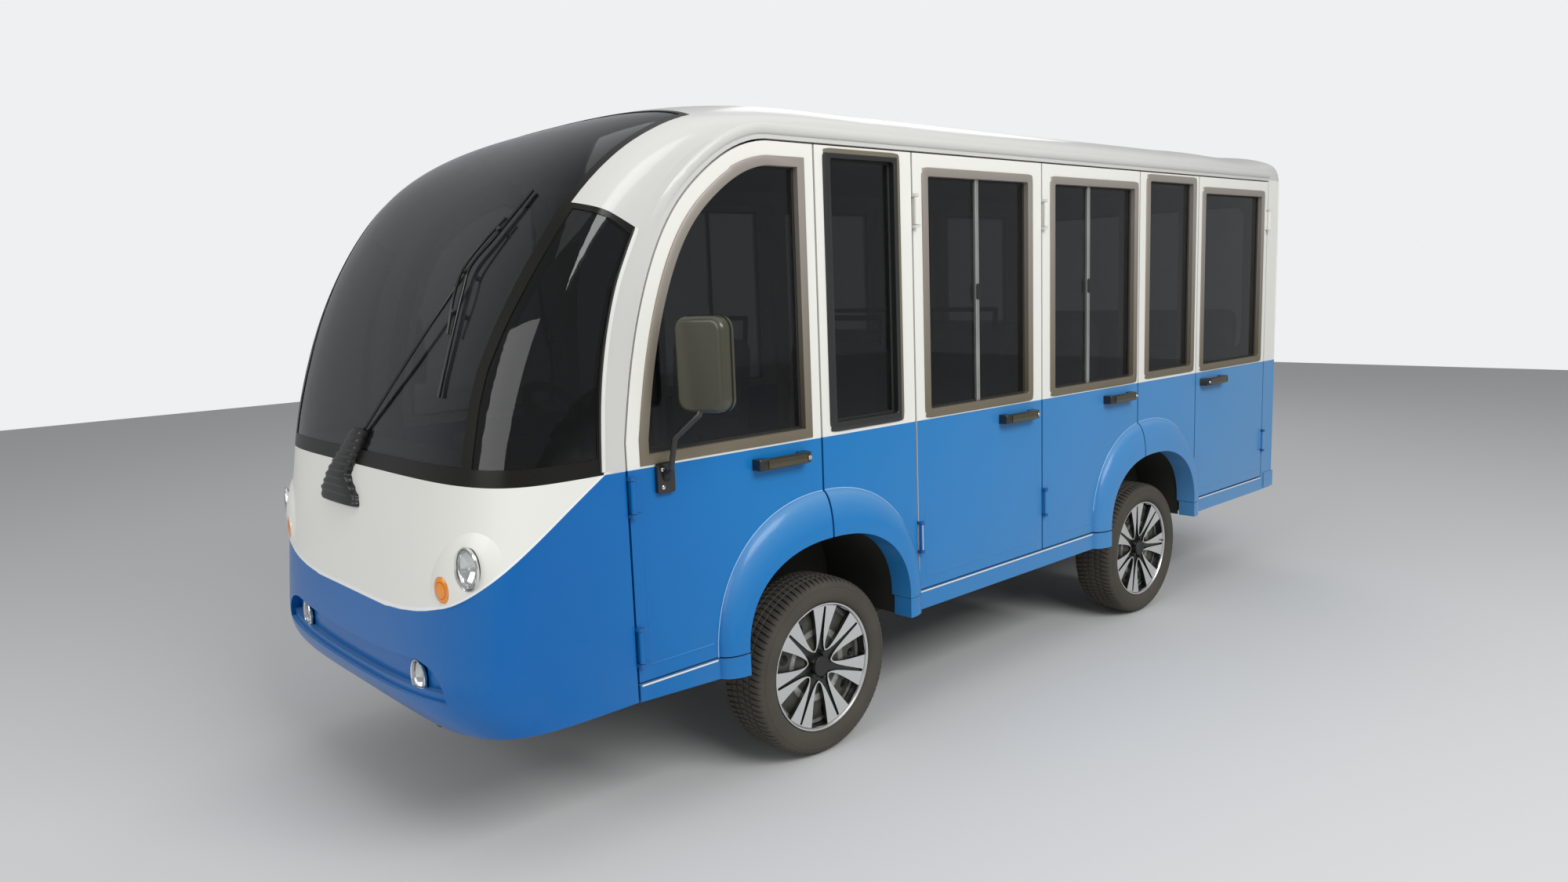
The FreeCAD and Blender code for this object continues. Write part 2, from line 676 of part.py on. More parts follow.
def make_roof(outer, wall, zone):
    # roof with its drip lips and the flanges that stand on the cant rails
    above_belt = box(-900, 900, -2400, 2400, BELT_Z, 2300)
    sides = bow_prism(-GAP / 2 - 2.0, LINE_Y[6] + 4.0, BELT_Z - 1.0, -900.0, 900.0)
    tail_box = box(-900, 900, LINE_Y[6] + 3.0, 2400, 0, EAVE_Z - 27.0)
    roof = wall.common(above_belt).cut([zone, sides, tail_box])
    lip = roof_lip().cut(envelope(10.0))
    flange = box(POST_X0 + 4, HALF_W - SHELL_T + 2, BOW[-1][0], LINE_Y[6], RAIL_TOP_Z, RAIL_TOP_Z + 8.0)
    added = [lip.cut([zone, sides]), flange]
    return roof.fuse(added + [mirror_x(part) for part in added])


def make_shell_parts(lamps):
    outer = envelope(0.0)
    wall = outer.cut(envelope(SHELL_T, 60.0))
    glazing = envelope(2.0).cut(envelope(2.0 + GLASS_T, 60.0))
    band = outer.cut(envelope(SURROUND_T, 60.0))

    zone = screen_zone(0.0, 0.0, BELT_Z).fuse(quarter_zone(0.0, BELT_Z))
    opening = screen_zone(-24.0, -16.0, GLASS_FOOT_Z)
    post = screen_zone(14.0, 200.0, BELT_Z)
    quarter = quarter_zone(18.0, GLASS_FOOT_Z).cut(post)
    parts = {"screen_surround": band.common(zone).cut([opening, quarter])}
    parts["windscreen"] = glazing.common(opening)
    parts["quarter_glass"] = glazing.common(quarter)
    parts["nose_panel"] = make_nose(outer, wall, lamps)
    parts["roof_shell"] = make_roof(outer, wall, zone)

    tail_lamps = make_tail_lamps(outer)
    rear_wall = wall.common(box(-900, 900, LINE_Y[6] + 4.0, 2400, SKIRT_Z - 1, EAVE_Z - 27.0))
    rear_hole = rounded_rect_y(*REAR_WINDOW, 60, 2100, 2400)
    parts["rear_panel"] = rear_wall.cut([rear_hole] + tail_lamps)
    parts["rear_glass"] = glazing.common(rear_hole)
    parts["tail_lamps"] = Part.makeCompound(tail_lamps)
    return outer, parts


def make_tail_lamps(outer):
    x0, x1, z0, z1 = TAIL_LAMP
    lamp_form = rounded_rect_y(x0, x1, z0, z1, 12.0, 2200, 2290)
    left = lamp_form.common(outer.cut(envelope(20.0)))
    return [left, mirror_x(left)]


def make_doors():
    front_flare = flare(FRONT_AXLE_Y)
    rear_flare = flare(REAR_AXLE_Y)
    cut_x = (HALF_W - DOOR_T - 1.0, HALF_W + 1.0)
    front_arch = arch_prism(0.0, cut_x[0], cut_x[1] + 60, FRONT_AXLE_Y)
    rear_arch = arch_prism(0.0, cut_x[0], cut_x[1] + 60, REAR_AXLE_Y)
    door_low = SILL_Z + GAP / 2
    doors = {}
    glass = {}

    panel = bow_prism(0.0, LINE_Y[1] - GAP / 2, door_low, HALF_W - DOOR_T, HALF_W)
    ring_out = bow_prism(BOW_FRAME, LINE_Y[1] - 43.0, 1052.0, HALF_W - DOOR_T, HALF_W + FRAME_PROUD)
    ring_in = bow_prism(BOW_FRAME + FRAME_W, LINE_Y[1] - 43.0 - FRAME_W, 1052.0 + FRAME_W,
                        HALF_W - DOOR_T - 1, HALF_W + FRAME_PROUD + 1)
    half_flare = front_flare.common(box(700, 900, -1600, LINE_Y[1] - GAP / 2, door_low, 1000))
    panel = panel.fuse([ring_out, half_flare, grip(LINE_Y[1] - 75.0)]).cut([ring_in, front_arch])
    doors[1] = hinged(panel, LINE_Y[0], LOW_HINGES)
    pane_x = (HALF_W - 26.0, HALF_W - 20.0)
    glass[1] = bow_prism(BOW_FRAME + FRAME_W, LINE_Y[1] - 43.0 - FRAME_W, 1052.0 + FRAME_W,
                         pane_x[0], pane_x[1])

    for number, window, a, b, flare_part, arch in ((2, WINDOW2, 2, 3, None, None),
                                                   (3, WINDOW3, 3, 4, rear_flare, rear_arch),
                                                   (4, WINDOW4, 5, 6, None, None)):
        panel = framed(side_slab(a, b, door_low), window)
        if flare_part is not None:
            half = flare_part.common(box(700, 900, LINE_Y[a], LINE_Y[b] - GAP / 2, door_low, 1000))
            panel = panel.fuse(half).cut(arch)
        if number in SLIDER_Y:
            y = SLIDER_Y[number]
            panel = panel.fuse(box(HALF_W - 20.0, HALF_W - 12.0, y - 8, y + 8,
                                   window[2] + 20, window[3] - 20))
        if number == 4:
            panel = panel.fuse(grip(LINE_Y[a] + 40.0 + HANDLE_L))
            panel = hinged(panel, LINE_Y[b], TALL_HINGES, -1.0)
        else:
            panel = panel.fuse(grip(LINE_Y[b] - 62.0))
            panel = hinged(panel, LINE_Y[a], TALL_HINGES)
        doors[number] = panel
        outside, inside = window_ring(window, pane_x[0], pane_x[1])
        glass[number] = inside.common(box(pane_x[0], pane_x[1], -2300, 2300, 0, 2300))
    return doors, glass, front_flare, rear_flare


def make_fixed_sides(front_flare, rear_flare):
    front_arch = arch_prism(0.0, 700, 900, FRONT_AXLE_Y)
    rear_arch = arch_prism(0.0, 700, 900, REAR_AXLE_Y)
    front = framed(side_slab(1, 2, SILL_Z, POST_X1), PANE1)
    half = front_flare.common(box(700, 900, LINE_Y[1] + GAP / 2, LINE_Y[2] - GAP / 2, SILL_Z, 1000))
    front = front.fuse(half).cut(front_arch)
    rear = framed(side_slab(4, 5, SILL_Z, POST_X1), PANE2)
    half = rear_flare.common(box(700, 900, LINE_Y[4] + GAP / 2, LINE_Y[5], SILL_Z, 1000))
    rear = rear.fuse(half).cut(rear_arch)
    panes = []
    for window in (PANE1, PANE2):
        outside, inside = window_ring(window, HALF_W - 26.0, HALF_W - 20.0)
        panes.append(inside.common(box(HALF_W - 26.0, HALF_W - 20.0, -2300, 2300, 0, 2300)))
    return front, rear, panes


def make_sills(front_flare, rear_flare):
    strip = box(HALF_W - SILL_T, HALF_W + 3.0, LINE_Y[0] + 3.0, LINE_Y[6] + 1.0, SKIRT_Z, SILL_Z - 2.0)
    lips = [f.common(box(700, 900, -2300, 2300, SKIRT_Z, SILL_Z - 2.0)) for f in (front_flare, rear_flare)]
    strip = strip.fuse(lips)
    for axle_y in (FRONT_AXLE_Y, REAR_AXLE_Y):
        strip = strip.cut(arch_prism(0.0, 700, 900, axle_y))
    front_y = LINE_Y[0] - 1.0
    arch_y = FRONT_AXLE_Y - ARCH_HALF + 1.0
    wedge = [(front_y, SKIRT_Z - 5), (arch_y, SKIRT_Z - 5), (arch_y, SKIRT_Z + 1),
             (front_y, NOSE_RISE[-1][1])]
    return strip.cut(prism_x(wedge, 700.0, 900.0))


def make_side_frame():
    # cant rail, bow over door 1 and posts of one side, butted together, then the door hinge pins
    foot = RAIL_Z[1]
    rail_foot = RAIL_TOP_Z - POST_RAIL
    rail = box(POST_X0, POST_X1, BOW[-1][0], LINE_Y[6] + POST_W / 2, rail_foot, RAIL_TOP_Z)
    posts = []
    for y in LINE_Y[1:]:
        posts.append(box(POST_X0, POST_X1, y - POST_W / 2, y + POST_W / 2, foot, rail_foot))
    bow = [(POST_X0, y, z) for y, z in bow_points(-20.0)]
    inner = [(POST_X0, y, z) for y, z in bow_points(POST_W - 20.0)]
    ends = [[bow[-1], inner[-1]], [inner[0], bow[0]]]
    arch = closed_face([bow, ends[0], list(reversed(inner)), ends[1]]).extrude(V(POST_W - 4.0, 0, 0))
    arch = arch.cut(rail)
    front = box(POST_X0, POST_X1, bow[0][1], inner[0][1], foot, BOW[0][1] + 1.0).cut(arch)
    tunnels = [arch_prism(LINER_OUT + 0.3, POST_X0 - 5, POST_X1 + 5, axle_y)
               for axle_y in (FRONT_AXLE_Y, REAR_AXLE_Y)]
    frame = [piece.cut(tunnels) for piece in [rail, arch, front] + posts]
    pins = []
    for line, heights, side in ((0, LOW_HINGES, 1.0), (2, TALL_HINGES, 1.0), (3, TALL_HINGES, 1.0),
                                (6, TALL_HINGES, -1.0)):
        for z in heights:
            pins.append(hinge_pin(LINE_Y[line], z, side).cut(frame))
    return Part.makeCompound(frame + pins)


def make_liner(axle_y, inner_x):
    skin = 4.0
    tunnel = arch_prism(LINER_OUT, inner_x, POST_X1, axle_y, SKIRT_Z)
    hollow = arch_prism(LINER_OUT - skin, inner_x + skin, HALF_W, axle_y, SKIRT_Z - 20.0)
    return tunnel.cut(hollow)


def make_floor():
    low = RAIL_Z[1]
    slab = box(1.0 - POST_X0, POST_X0 - 1.0, LINE_Y[0] - 30, 2170, low, low + FLOOR_T)
    slab = slab.fuse(box(-660, 660, -2130, LINE_Y[0] - 30, low, low + FLOOR_T))
    for axle_y, inner_x in ((FRONT_AXLE_Y, FRONT_LINER_X), (REAR_AXLE_Y, REAR_LINER_X)):
        well = arch_prism(LINER_OUT + 0.3, inner_x - 0.3, 800, axle_y)
        slab = slab.cut([well, mirror_x(well)])
    return slab


def make_chassis():
    # two rails with tow plates, cross members and outriggers that carry posts and sills
    low, high = RAIL_Z
    bars = []
    for x in (RAIL_X, -RAIL_X):
        bars.append(box(x - 30, x + 30, RAIL_Y[0], RAIL_Y[1], low, high))
        for y, out in ((RAIL_Y[0], -1), (RAIL_Y[1], 1)):
            ya, yb = sorted((y - 4 * out, y + 52 * out))
            bars.append(box(x - 10, x + 10, ya, yb, low, high - 30))
    for y in (-2050, LINE_Y[0] + 20, -560, LINE_Y[3], 520, LINE_Y[5], 2080):
        bars.append(box(-RAIL_X, RAIL_X, y - 25, y + 25, low + 20, high))
    for y in (LINE_Y[0] + 20, LINE_Y[2], LINE_Y[3], 520, LINE_Y[5], LINE_Y[6] - 20):
        for x in (RAIL_X, -RAIL_X):
            xa, xb = sorted((x, math.copysign(HALF_W - SILL_T, x)))
            bars.append(box(xa, xb, y - 20, y + 20, low + 60, high))
    for y in JACK_Y:
        for x in (RAIL_X, -RAIL_X):
            bars.append(box(x - 25, x + 25, y - 30, y + 30, low - JACK_PAD, low))
    frame = bars[0].fuse(bars[1:])
    for y in (RAIL_Y[0] - 28, RAIL_Y[1] + 28):
        for x in (RAIL_X, -RAIL_X):
            frame = frame.cut(cylinder(TOW_R, (x - 40, y, low + 35), (1, 0, 0), 80))
    return frame.removeSplitter()


def make_spring(axle_y, drop):
    # leaf pack under a rail, hung from two eyes
    leaves = []
    for k, half in enumerate((400.0, 300.0, 200.0)):
        top = AXLE_Z + drop - 8.0 * k
        leaves.append(box(RAIL_X - 25, RAIL_X + 25, axle_y - half, axle_y + half, top - 8.0, top))
    for side in (-1, 1):
        y = axle_y + side * 392
        leaves.append(box(RAIL_X - 22, RAIL_X + 22, y - 12, y + 12, AXLE_Z + drop - 4, RAIL_Z[0]))
    return leaves[0].fuse(leaves[1:])


def make_front_axle():
    beam = box(-KINGPIN_X + 30, KINGPIN_X - 30, FRONT_AXLE_Y - 28, FRONT_AXLE_Y + 28,
               AXLE_Z - 34, AXLE_Z + 26)
    parts = []
    for sign in (1, -1):
        eye = cylinder(24.0, (sign * KINGPIN_X, FRONT_AXLE_Y, AXLE_Z - 34), (0, 0, 1), 60)
        x0, x1 = sorted((sign * (KINGPIN_X - 34), sign * KINGPIN_X))
        parts += [eye, box(x0, x1, FRONT_AXLE_Y - 24, FRONT_AXLE_Y + 24, AXLE_Z - 34, AXLE_Z + 26)]
    spring = make_spring(FRONT_AXLE_Y, -20.0)
    beam = beam.fuse(parts + [spring, mirror_x(spring)])
    for sign in (1, -1):
        beam = beam.cut(cylinder(12.0 + PIN_PLAY, (sign * KINGPIN_X, FRONT_AXLE_Y, 200), (0, 0, 1), 200))
    return beam.removeSplitter()


def make_knuckle():
    # yoke round the axle's eye, kingpin, spindle and steering arm
    x = KINGPIN_X
    y = FRONT_AXLE_Y
    pin = cylinder(12.0, (x, y, AXLE_Z - 60), (0, 0, 1), 112)
    low = box(x - 24, x + 40, y - 26, y + 26, AXLE_Z - 60, AXLE_Z - 40)
    high = box(x - 24, x + 40, y - 26, y + 26, AXLE_Z + 32, AXLE_Z + 52)
    back = box(x + 30, x + 46, y - 34, y + 34, AXLE_Z - 60, AXLE_Z + 52)
    spindle = cylinder(SPINDLE_R, (x + 40, y, AXLE_Z), (1, 0, 0), 98)
    arm = box(x - 20, x + 4, y + 20, y + 130, AXLE_Z - 60, AXLE_Z - 44)
    return pin.fuse([low, high, back, spindle, arm])


def make_rear_axle():
    tube = cylinder(36.0, (-540, REAR_AXLE_Y, AXLE_Z), (1, 0, 0), 1080)
    gear_case = Part.makeSphere(105.0)
    gear_case.rotate(V(0, 0, 0), V(0, 0, 1), 50.0)
    gear_case.translate(V(GEAR_X, REAR_AXLE_Y, AXLE_Z))
    parts = [gear_case, cylinder(62.0, (GEAR_X, REAR_AXLE_Y - 130, AXLE_Z), (0, 1, 0), 100)]
    for sign in (1, -1):
        x0 = sign * 540
        parts.append(cylinder(SPINDLE_R, (x0, REAR_AXLE_Y, AXLE_Z), (sign, 0, 0), 160))
        parts.append(cylinder(70.0, (x0 - 12 if sign < 0 else x0, REAR_AXLE_Y, AXLE_Z), (1, 0, 0), 12))
        spring = make_spring(REAR_AXLE_Y, -28.0)
        parts.append(spring if sign > 0 else mirror_x(spring))
    return tube.fuse(parts)


def make_motor():
    # drive motor in front of the axle's gear case
    return cylinder(95.0, (GEAR_X, REAR_AXLE_Y - 360, AXLE_Z), (0, 1, 0), 230)


def make_tyre():
    # section from the inner bead round the tread to the outer bead, turned about the axle
    section = TYRE_SECTION + [(-x, r) for x, r in reversed(TYRE_SECTION)]
    wire = Part.makePolygon([V(x, 0, r) for x, r in section + section[:1]])
    return Part.Face(wire).revolve(V(0, 0, 0), V(1, 0, 0), 360)


def rim_window():
    # U-shaped window along +Y of the wheel's plane: rounded inner end, flanks that open outwards
    r0, r1 = WINDOW_R
    flank = []
    for share in (0.0, 0.02, 0.08, 0.2, 0.4, 0.7, 1.0):
        flank.append((r0 + (r1 - r0) * share, WINDOW_HALF * share ** WINDOW_CURVE))
    loop = [(r, -half) for r, half in reversed(flank[1:])] + flank
    edge = [(20.0, r, half) for r, half in loop]
    return closed_face([edge, [edge[-1], edge[0]]]).extrude(V(80, 0, 0))


def rim_slot():
    # sunk black field between two spokes, wide at the hub and narrow at the rim
    r0, r1 = FACE_R
    x0, x1 = FACE_X
    skim = [(x0 - SLOT_DEEP, 20.0), (x0 - SLOT_DEEP, r0), (x1 - SLOT_DEEP, r1), (x1 + 9.0, r1),
            (x1 + 9.0, 20.0)]
    wire = Part.makePolygon([V(x, 0, r) for x, r in skim + skim[:1]])
    layer = Part.Face(wire).revolve(V(0, 0, 0), V(1, 0, 0), 360)
    outline = SLOT + [(r, -half) for r, half in reversed(SLOT)]
    return prism_x(outline, 20.0, 100.0).common(layer)


def make_rim(turn):
    # barrel, brake drum and a machined face with a window and a slot for each spoke pair
    profile = [(-71, BEAD_R), (-71, 208), (-79, 208), (-79, 203), (-70, 199.5), (60, 199.5), (75, 202.5),
               (79, 205.5), (79, RIM_R), (71.5, RIM_R), (71, BEAD_R)]
    wire = Part.makePolygon([V(x, 0, r) for x, r in profile + profile[:1]])
    barrel = Part.Face(wire).revolve(V(0, 0, 0), V(1, 0, 0), 360)
    r0, r1 = FACE_R
    x0, x1 = FACE_X
    plate = [(x0, r0), (x1, r1), (x1 - FACE_T, r1), (x0 - FACE_T, r0)]
    wire = Part.makePolygon([V(x, 0, r) for x, r in plate + plate[:1]])
    face = Part.Face(wire).revolve(V(0, 0, 0), V(1, 0, 0), 360)
    window = rim_window()
    slot = rim_slot()
    cuts = []
    for k in range(SPOKE_PAIRS):
        for shape, share in ((slot, 0.0), (window, 0.5)):
            cut = shape.copy()
            cut.rotate(V(0, 0, 0), V(1, 0, 0), turn + 360.0 / SPOKE_PAIRS * (k + share))
            cuts.append(cut)
    face = face.cut(cuts)
    hub = cylinder(HUB_R, (10, 0, 0), (1, 0, 0), x0 - SLOT_DEEP - 10.0)
    cap = cylinder(30.0, (40, 0, 0), (1, 0, 0), 18)
    carrier = cylinder(34.0, (-30, 0, 0), (1, 0, 0), 42)
    drum = cylinder(120.0, (-34, 0, 0), (1, 0, 0), 30)
    bore = cylinder(SPINDLE_R + PIN_PLAY, (-90, 0, 0), (1, 0, 0), 130)
    return barrel.fuse([face, hub, cap, carrier, drum]).cut(bore)


def placed_wheel(shape, sign, axle_y):
    moved = shape.copy()
    if sign < 0:
        moved = mirror_x(moved)
    moved.translate(V(sign * WHEEL_X, axle_y, AXLE_Z))
    return moved


def soft_block_x(x0, x1, y0, y1, z0, z1, radius):
    block = box(x0, x1, y0, y1, z0, z1)
    edges = [e for e in block.Edges if abs(abs(e.tangentAt(e.FirstParameter).x) - 1) < 1e-6]
    return block.makeFillet(radius, edges)


def seat_row(front_y, facing, x0, x1, base_x, hoop_x, rail_z):
    # cushion, leaning back and their frame; drawn facing the nose, then turned about if need be
    cushion = soft_block_x(x0, x1, front_y, front_y + SEAT_D, SEAT_Z, SEAT_Z + CUSHION_T, 34.0)
    back_y = front_y + SEAT_D - 20
    back = soft_block_x(x0, x1, back_y, back_y + BACK_T, SEAT_Z + 130, SEAT_Z + BACK_TOP, 34.0)
    rear = back_y + BACK_T + 10.5
    hoop = tube_along([(hoop_x[0], rear, SEAT_Z - 60), (hoop_x[0], rear, rail_z), (hoop_x[1], rear, rail_z),
                       (hoop_x[1], rear, SEAT_Z - 60)], 10.0)
    pivot = V(0, back_y + BACK_T / 2, SEAT_Z + 130)
    for shape in (back, hoop):
        shape.rotate(pivot, V(1, 0, 0), -SEAT_LEAN)
    base = box(base_x[0], base_x[1], front_y + 60, front_y + SEAT_D - 30, RAIL_Z[1] + FLOOR_T, SEAT_Z - 0.5)
    shelf_x = (min(base_x[0], hoop_x[0] - 12.0), max(base_x[1], hoop_x[1] + 12.0))
    shelf = box(shelf_x[0], shelf_x[1], front_y + SEAT_D - 31, rear + 12, SEAT_Z - 70, SEAT_Z - 40)
    frame = base.fuse([shelf, hoop])
    shapes = [cushion, back, frame]
    if facing < 0:
        for shape in shapes:
            shape.rotate(V(0, front_y, 0), V(0, 0, 1), 180)
    return shapes


def make_seats():
    # front edge of each row, the way it faces, its width, its base and hoop and the hoop's height
    over_back = SEAT_Z + BACK_TOP + 70
    under_top = SEAT_Z + BACK_TOP - 60
    single_base = (150.0, FRONT_LINER_X - 8.0)
    single_hoop = (220.0, 520.0)
    bench = (-630.0, 630.0)
    bench_base = (12.0 - REAR_LINER_X, REAR_LINER_X - 12.0)
    bench_hoop = (30.0 - REAR_LINER_X, REAR_LINER_X - 30.0)
    rows = [(-1020, 1, (130.0, 610.0), single_base, single_hoop, over_back),
            (-1020, 1, (-610.0, -130.0), (-single_base[1], -single_base[0]), (-520.0, -220.0), over_back),
            (-290, 1, bench, bench_base, bench_hoop, over_back),
            (345, 1, bench, bench_base, bench_hoop, under_top),
            (1425, -1, bench, bench_base, bench_hoop, under_top),
            (1665, 1, bench, bench_base, bench_hoop, under_top)]
    pads = []
    frames = []
    for y, facing, width, base_x, hoop_x, rail_z in rows:
        cushion, back, frame = seat_row(y, facing, width[0], width[1], base_x, hoop_x, rail_z)
        pads += [cushion, back]
        frames.append(frame)
    return pads, frames


def make_dashboard():
    # padded shelf under the windscreen with an instrument binnacle
    shelf = [(-2190, 1030), (-2120, 1062), (-1990, 1070), (-1905, 1050), (-1880, 1000), (-1890, 900),
             (-1960, 800), (-2050, 760), (-2190, 760)]
    body = prism_x(shelf, -700, 700).common(envelope(SHELL_T + 0.5))
    binnacle = rounded_block(200, 500, -1990, -1890, 1040, 1130, 20.0)
    column = tube_along([(350, -1930, 940), (350, -1700, 1090)], 26.0)
    return body.fuse([binnacle, column])


def make_steering_wheel():
    ring = Part.makeTorus(185.0, 14.0)
    hub = Part.makeCylinder(45.0, 30.0, V(0, 0, -15))
    body = ring.fuse(hub)
    for k in range(3):
        spoke_bar = box(20, 180, -14, 14, -6, 6)
        spoke_bar.rotate(V(0, 0, 0), V(0, 0, 1), 90 + 120 * k)
        body = body.fuse(spoke_bar)
    body.rotate(V(0, 0, 0), V(1, 0, 0), -57.0)
    body.translate(V(350, -1684, 1101))
    return body.removeSplitter()


def ellipsoid(centre, radii):
    ball = Part.makeSphere(1.0)
    m = FreeCAD.Matrix()
    m.scale(radii[0], radii[1], radii[2])
    ball = ball.transformGeometry(m)
    ball.translate(V(*centre))
    return ball


def oval_drum(half_w, half_h, depth):
    # upright oval in the XZ plane, run back along +Y
    ring = Part.Ellipse(V(0, 0, 0), max(half_w, half_h), min(half_w, half_h)).toShape()
    if half_h > half_w:
        ring.rotate(V(0, 0, 0), V(0, 0, 1), 90)
    drum = Part.Face(Part.Wire([ring])).extrude(V(0, 0, depth))
    drum.rotate(V(0, 0, 0), V(1, 0, 0), 90)
    drum.translate(V(0, depth, 0))
    return drum


def placed_lamp(shape, x, y, z, turn_deg):
    shape.rotate(V(0, 0, 0), V(0, 0, 1), turn_deg)
    shape.translate(V(x, y, z))
    return shape


def lamp(form):
    # oval drum along the lamp's axis, its lens bowed forwards
    x, y, z, half_w, half_h, depth, turn_deg = form
    drum = oval_drum(half_w, half_h, depth)
    # the dome's radius along the axis is such that it falls by the bow at the lens's edge
    fall = 1.0 - math.sqrt(1.0 - 1.0 / 1.5 ** 2)
    deep = LENS_BOW / fall
    dome = ellipsoid((0, deep, 0), (half_w * 1.5, deep, half_h * 1.5))
    body = drum.common(dome.fuse(box(-300, 300, deep, 300, -300, 300)))
    return placed_lamp(body, x, y, z, turn_deg)


def make_wiper(outer):
    # ribbed cowl on the skin, bowed arm and a blade on its tip
    wires = []
    for x0, x1, y, z in WIPER_COWL:
        wires.append(Part.makePolygon([V(x0, y + 30, z), V(x0, y - 10, z), V(x0 + 14, y - COWL_OUT, z),
                                       V(x1 - 14, y - COWL_OUT, z), V(x1, y - 10, z), V(x1, y + 30, z),
                                       V(x0, y + 30, z)]))
    cowl = Part.makeLoft(wires, True, True).cut(outer)
    return cowl.fuse([tube_along(WIPER_ARM, ARM_R), tube_along(WIPER_BLADE, BLADE_R)])


def make_mirror():
    # bracket on the door, bent stem and a rounded head
    foot = rounded_rect_x(-1690, -1632, 968, 1050, 8.0, HALF_W, HALF_W + 14)
    stem = tube_along([(HALF_W + 8, -1660, 1010), (HALF_W + 40, -1662, 1040), (HALF_W + 52, -1655, 1120),
                       (HALF_W + 118, -1620, 1185), (HALF_W + 125, -1600, 1230)], 8.0)
    head = box(-82, 82, -26, 26, -128, 128)
    uprights = [e for e in head.Edges if abs(abs(e.tangentAt(e.FirstParameter).y) - 1) < 1e-6]
    head = head.makeFillet(38.0, uprights)
    rim = [e for e in head.Edges if abs(e.BoundBox.YMin + 26) < 0.1 and abs(e.BoundBox.YMax + 26) < 0.1]
    head = head.makeFillet(16.0, rim)
    head.rotate(V(0, 0, 0), V(0, 0, 1), 14.0)
    head.translate(V(HALF_W + 125, -1600, 1319))
    return foot.fuse([stem, head])


def make_battery():
    # hung from the cross members
    return box(-290, 290, -540, 480, 205, RAIL_Z[0] + 20)


def make_bumper():
    # bowed bar across the tail
    band = envelope(-BUMPER_OUT).cut(envelope(-0.2, 60.0))
    return band.common(box(-900, 900, BUMPER_Y, 2400, BUMPER_Z[0], BUMPER_Z[1]))


def body_parts():
    lamps = [lamp(HEADLAMP), lamp(TURN_LAMP), lamp(FOG_LAMP)]
    outer, parts = make_shell_parts(lamps)
    for name, shape in zip(("headlamps", "turn_lamps", "fog_lamps"), lamps):
        parts[name] = both_sides(shape)
    doors, glass, front_flare, rear_flare = make_doors()
    for number in doors:
        parts["door%d_left" % number] = doors[number]
        parts["door%d_right" % number] = mirror_x(doors[number])
        parts["door%d_glass_left" % number] = glass[number]
        parts["door%d_glass_right" % number] = mirror_x(glass[number])
    front_side, rear_side, panes = make_fixed_sides(front_flare, rear_flare)
    parts["fixed_panels"] = Part.makeCompound([both_sides(front_side), both_sides(rear_side)])
    parts["fixed_glass"] = Part.makeCompound([both_sides(pane) for pane in panes])
    parts["sills"] = both_sides(make_sills(front_flare, rear_flare))
    parts["rear_bumper"] = make_bumper()
    parts["wiper"] = make_wiper(outer)
    mirror = make_mirror()
    parts["mirror_left"] = mirror
    parts["mirror_right"] = mirror_x(mirror)
    return parts


def frame_parts():
    parts = {"side_frames": both_sides(make_side_frame()), "floor": make_floor()}
    liners = [make_liner(FRONT_AXLE_Y, FRONT_LINER_X), make_liner(REAR_AXLE_Y, REAR_LINER_X)]
    parts["wheel_liners"] = Part.makeCompound([both_sides(liner) for liner in liners])
    parts["chassis_frame"] = make_chassis()
    parts["front_axle"] = make_front_axle()
    parts["rear_axle"] = make_rear_axle()
    parts["drive_motor"] = make_motor()
    parts["battery_pack"] = make_battery()
    knuckle = make_knuckle()
    parts["knuckle_left"] = knuckle
    parts["knuckle_right"] = mirror_x(knuckle)
    return parts


def wheel_parts():
    parts = {}
    tyre = make_tyre()
    for end, axle_y in (("front", FRONT_AXLE_Y), ("rear", REAR_AXLE_Y)):
        rim = make_rim(SLOT_TURN[end])
        for side, sign in (("left", 1), ("right", -1)):
            parts["tyre_%s_%s" % (end, side)] = placed_wheel(tyre, sign, axle_y)
            parts["rim_%s_%s" % (end, side)] = placed_wheel(rim, sign, axle_y)
    return parts


def cabin_parts():
    pads, frames = make_seats()
    return {"seat_pads": Part.makeCompound(pads), "seat_frames": Part.makeCompound(frames),
            "dashboard": make_dashboard(), "steering_wheel": make_steering_wheel()}


def build():
    for group in (body_parts(), frame_parts(), wheel_parts(), cabin_parts()):
        for name, shape in group.items():
            shape.exportStep("parts/" + name + ".step")


build()
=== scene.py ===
import bmesh
import bpy
import math
import numpy as np
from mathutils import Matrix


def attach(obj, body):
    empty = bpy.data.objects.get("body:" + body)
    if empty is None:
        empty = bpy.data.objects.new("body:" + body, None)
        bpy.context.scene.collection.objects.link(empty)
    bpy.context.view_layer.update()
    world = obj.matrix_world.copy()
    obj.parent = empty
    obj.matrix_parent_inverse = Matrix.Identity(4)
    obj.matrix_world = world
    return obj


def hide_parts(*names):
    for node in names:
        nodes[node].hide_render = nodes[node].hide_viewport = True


# Closed electric shuttle bus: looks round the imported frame.
# Metres. +X is the vehicle's left, -Y its nose, +Z up, the ground at zero.

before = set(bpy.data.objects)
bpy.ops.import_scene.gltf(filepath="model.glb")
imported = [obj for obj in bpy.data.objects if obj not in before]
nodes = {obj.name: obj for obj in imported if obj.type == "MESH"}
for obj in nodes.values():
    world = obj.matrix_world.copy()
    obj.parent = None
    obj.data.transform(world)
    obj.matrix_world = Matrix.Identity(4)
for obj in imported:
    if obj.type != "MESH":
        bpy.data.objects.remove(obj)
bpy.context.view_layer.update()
print("frame loaded:", len(nodes), "nodes")

sides = ("left", "right")
wheel = {"front": -1.048, "rear": 0.96, "out": 0.672, "high": 0.292}
wheelSpots = [(end + "_" + side, sign, wheel[end]) for end in ("front", "rear")
    for side, sign in zip(sides, (1.0, -1.0))]


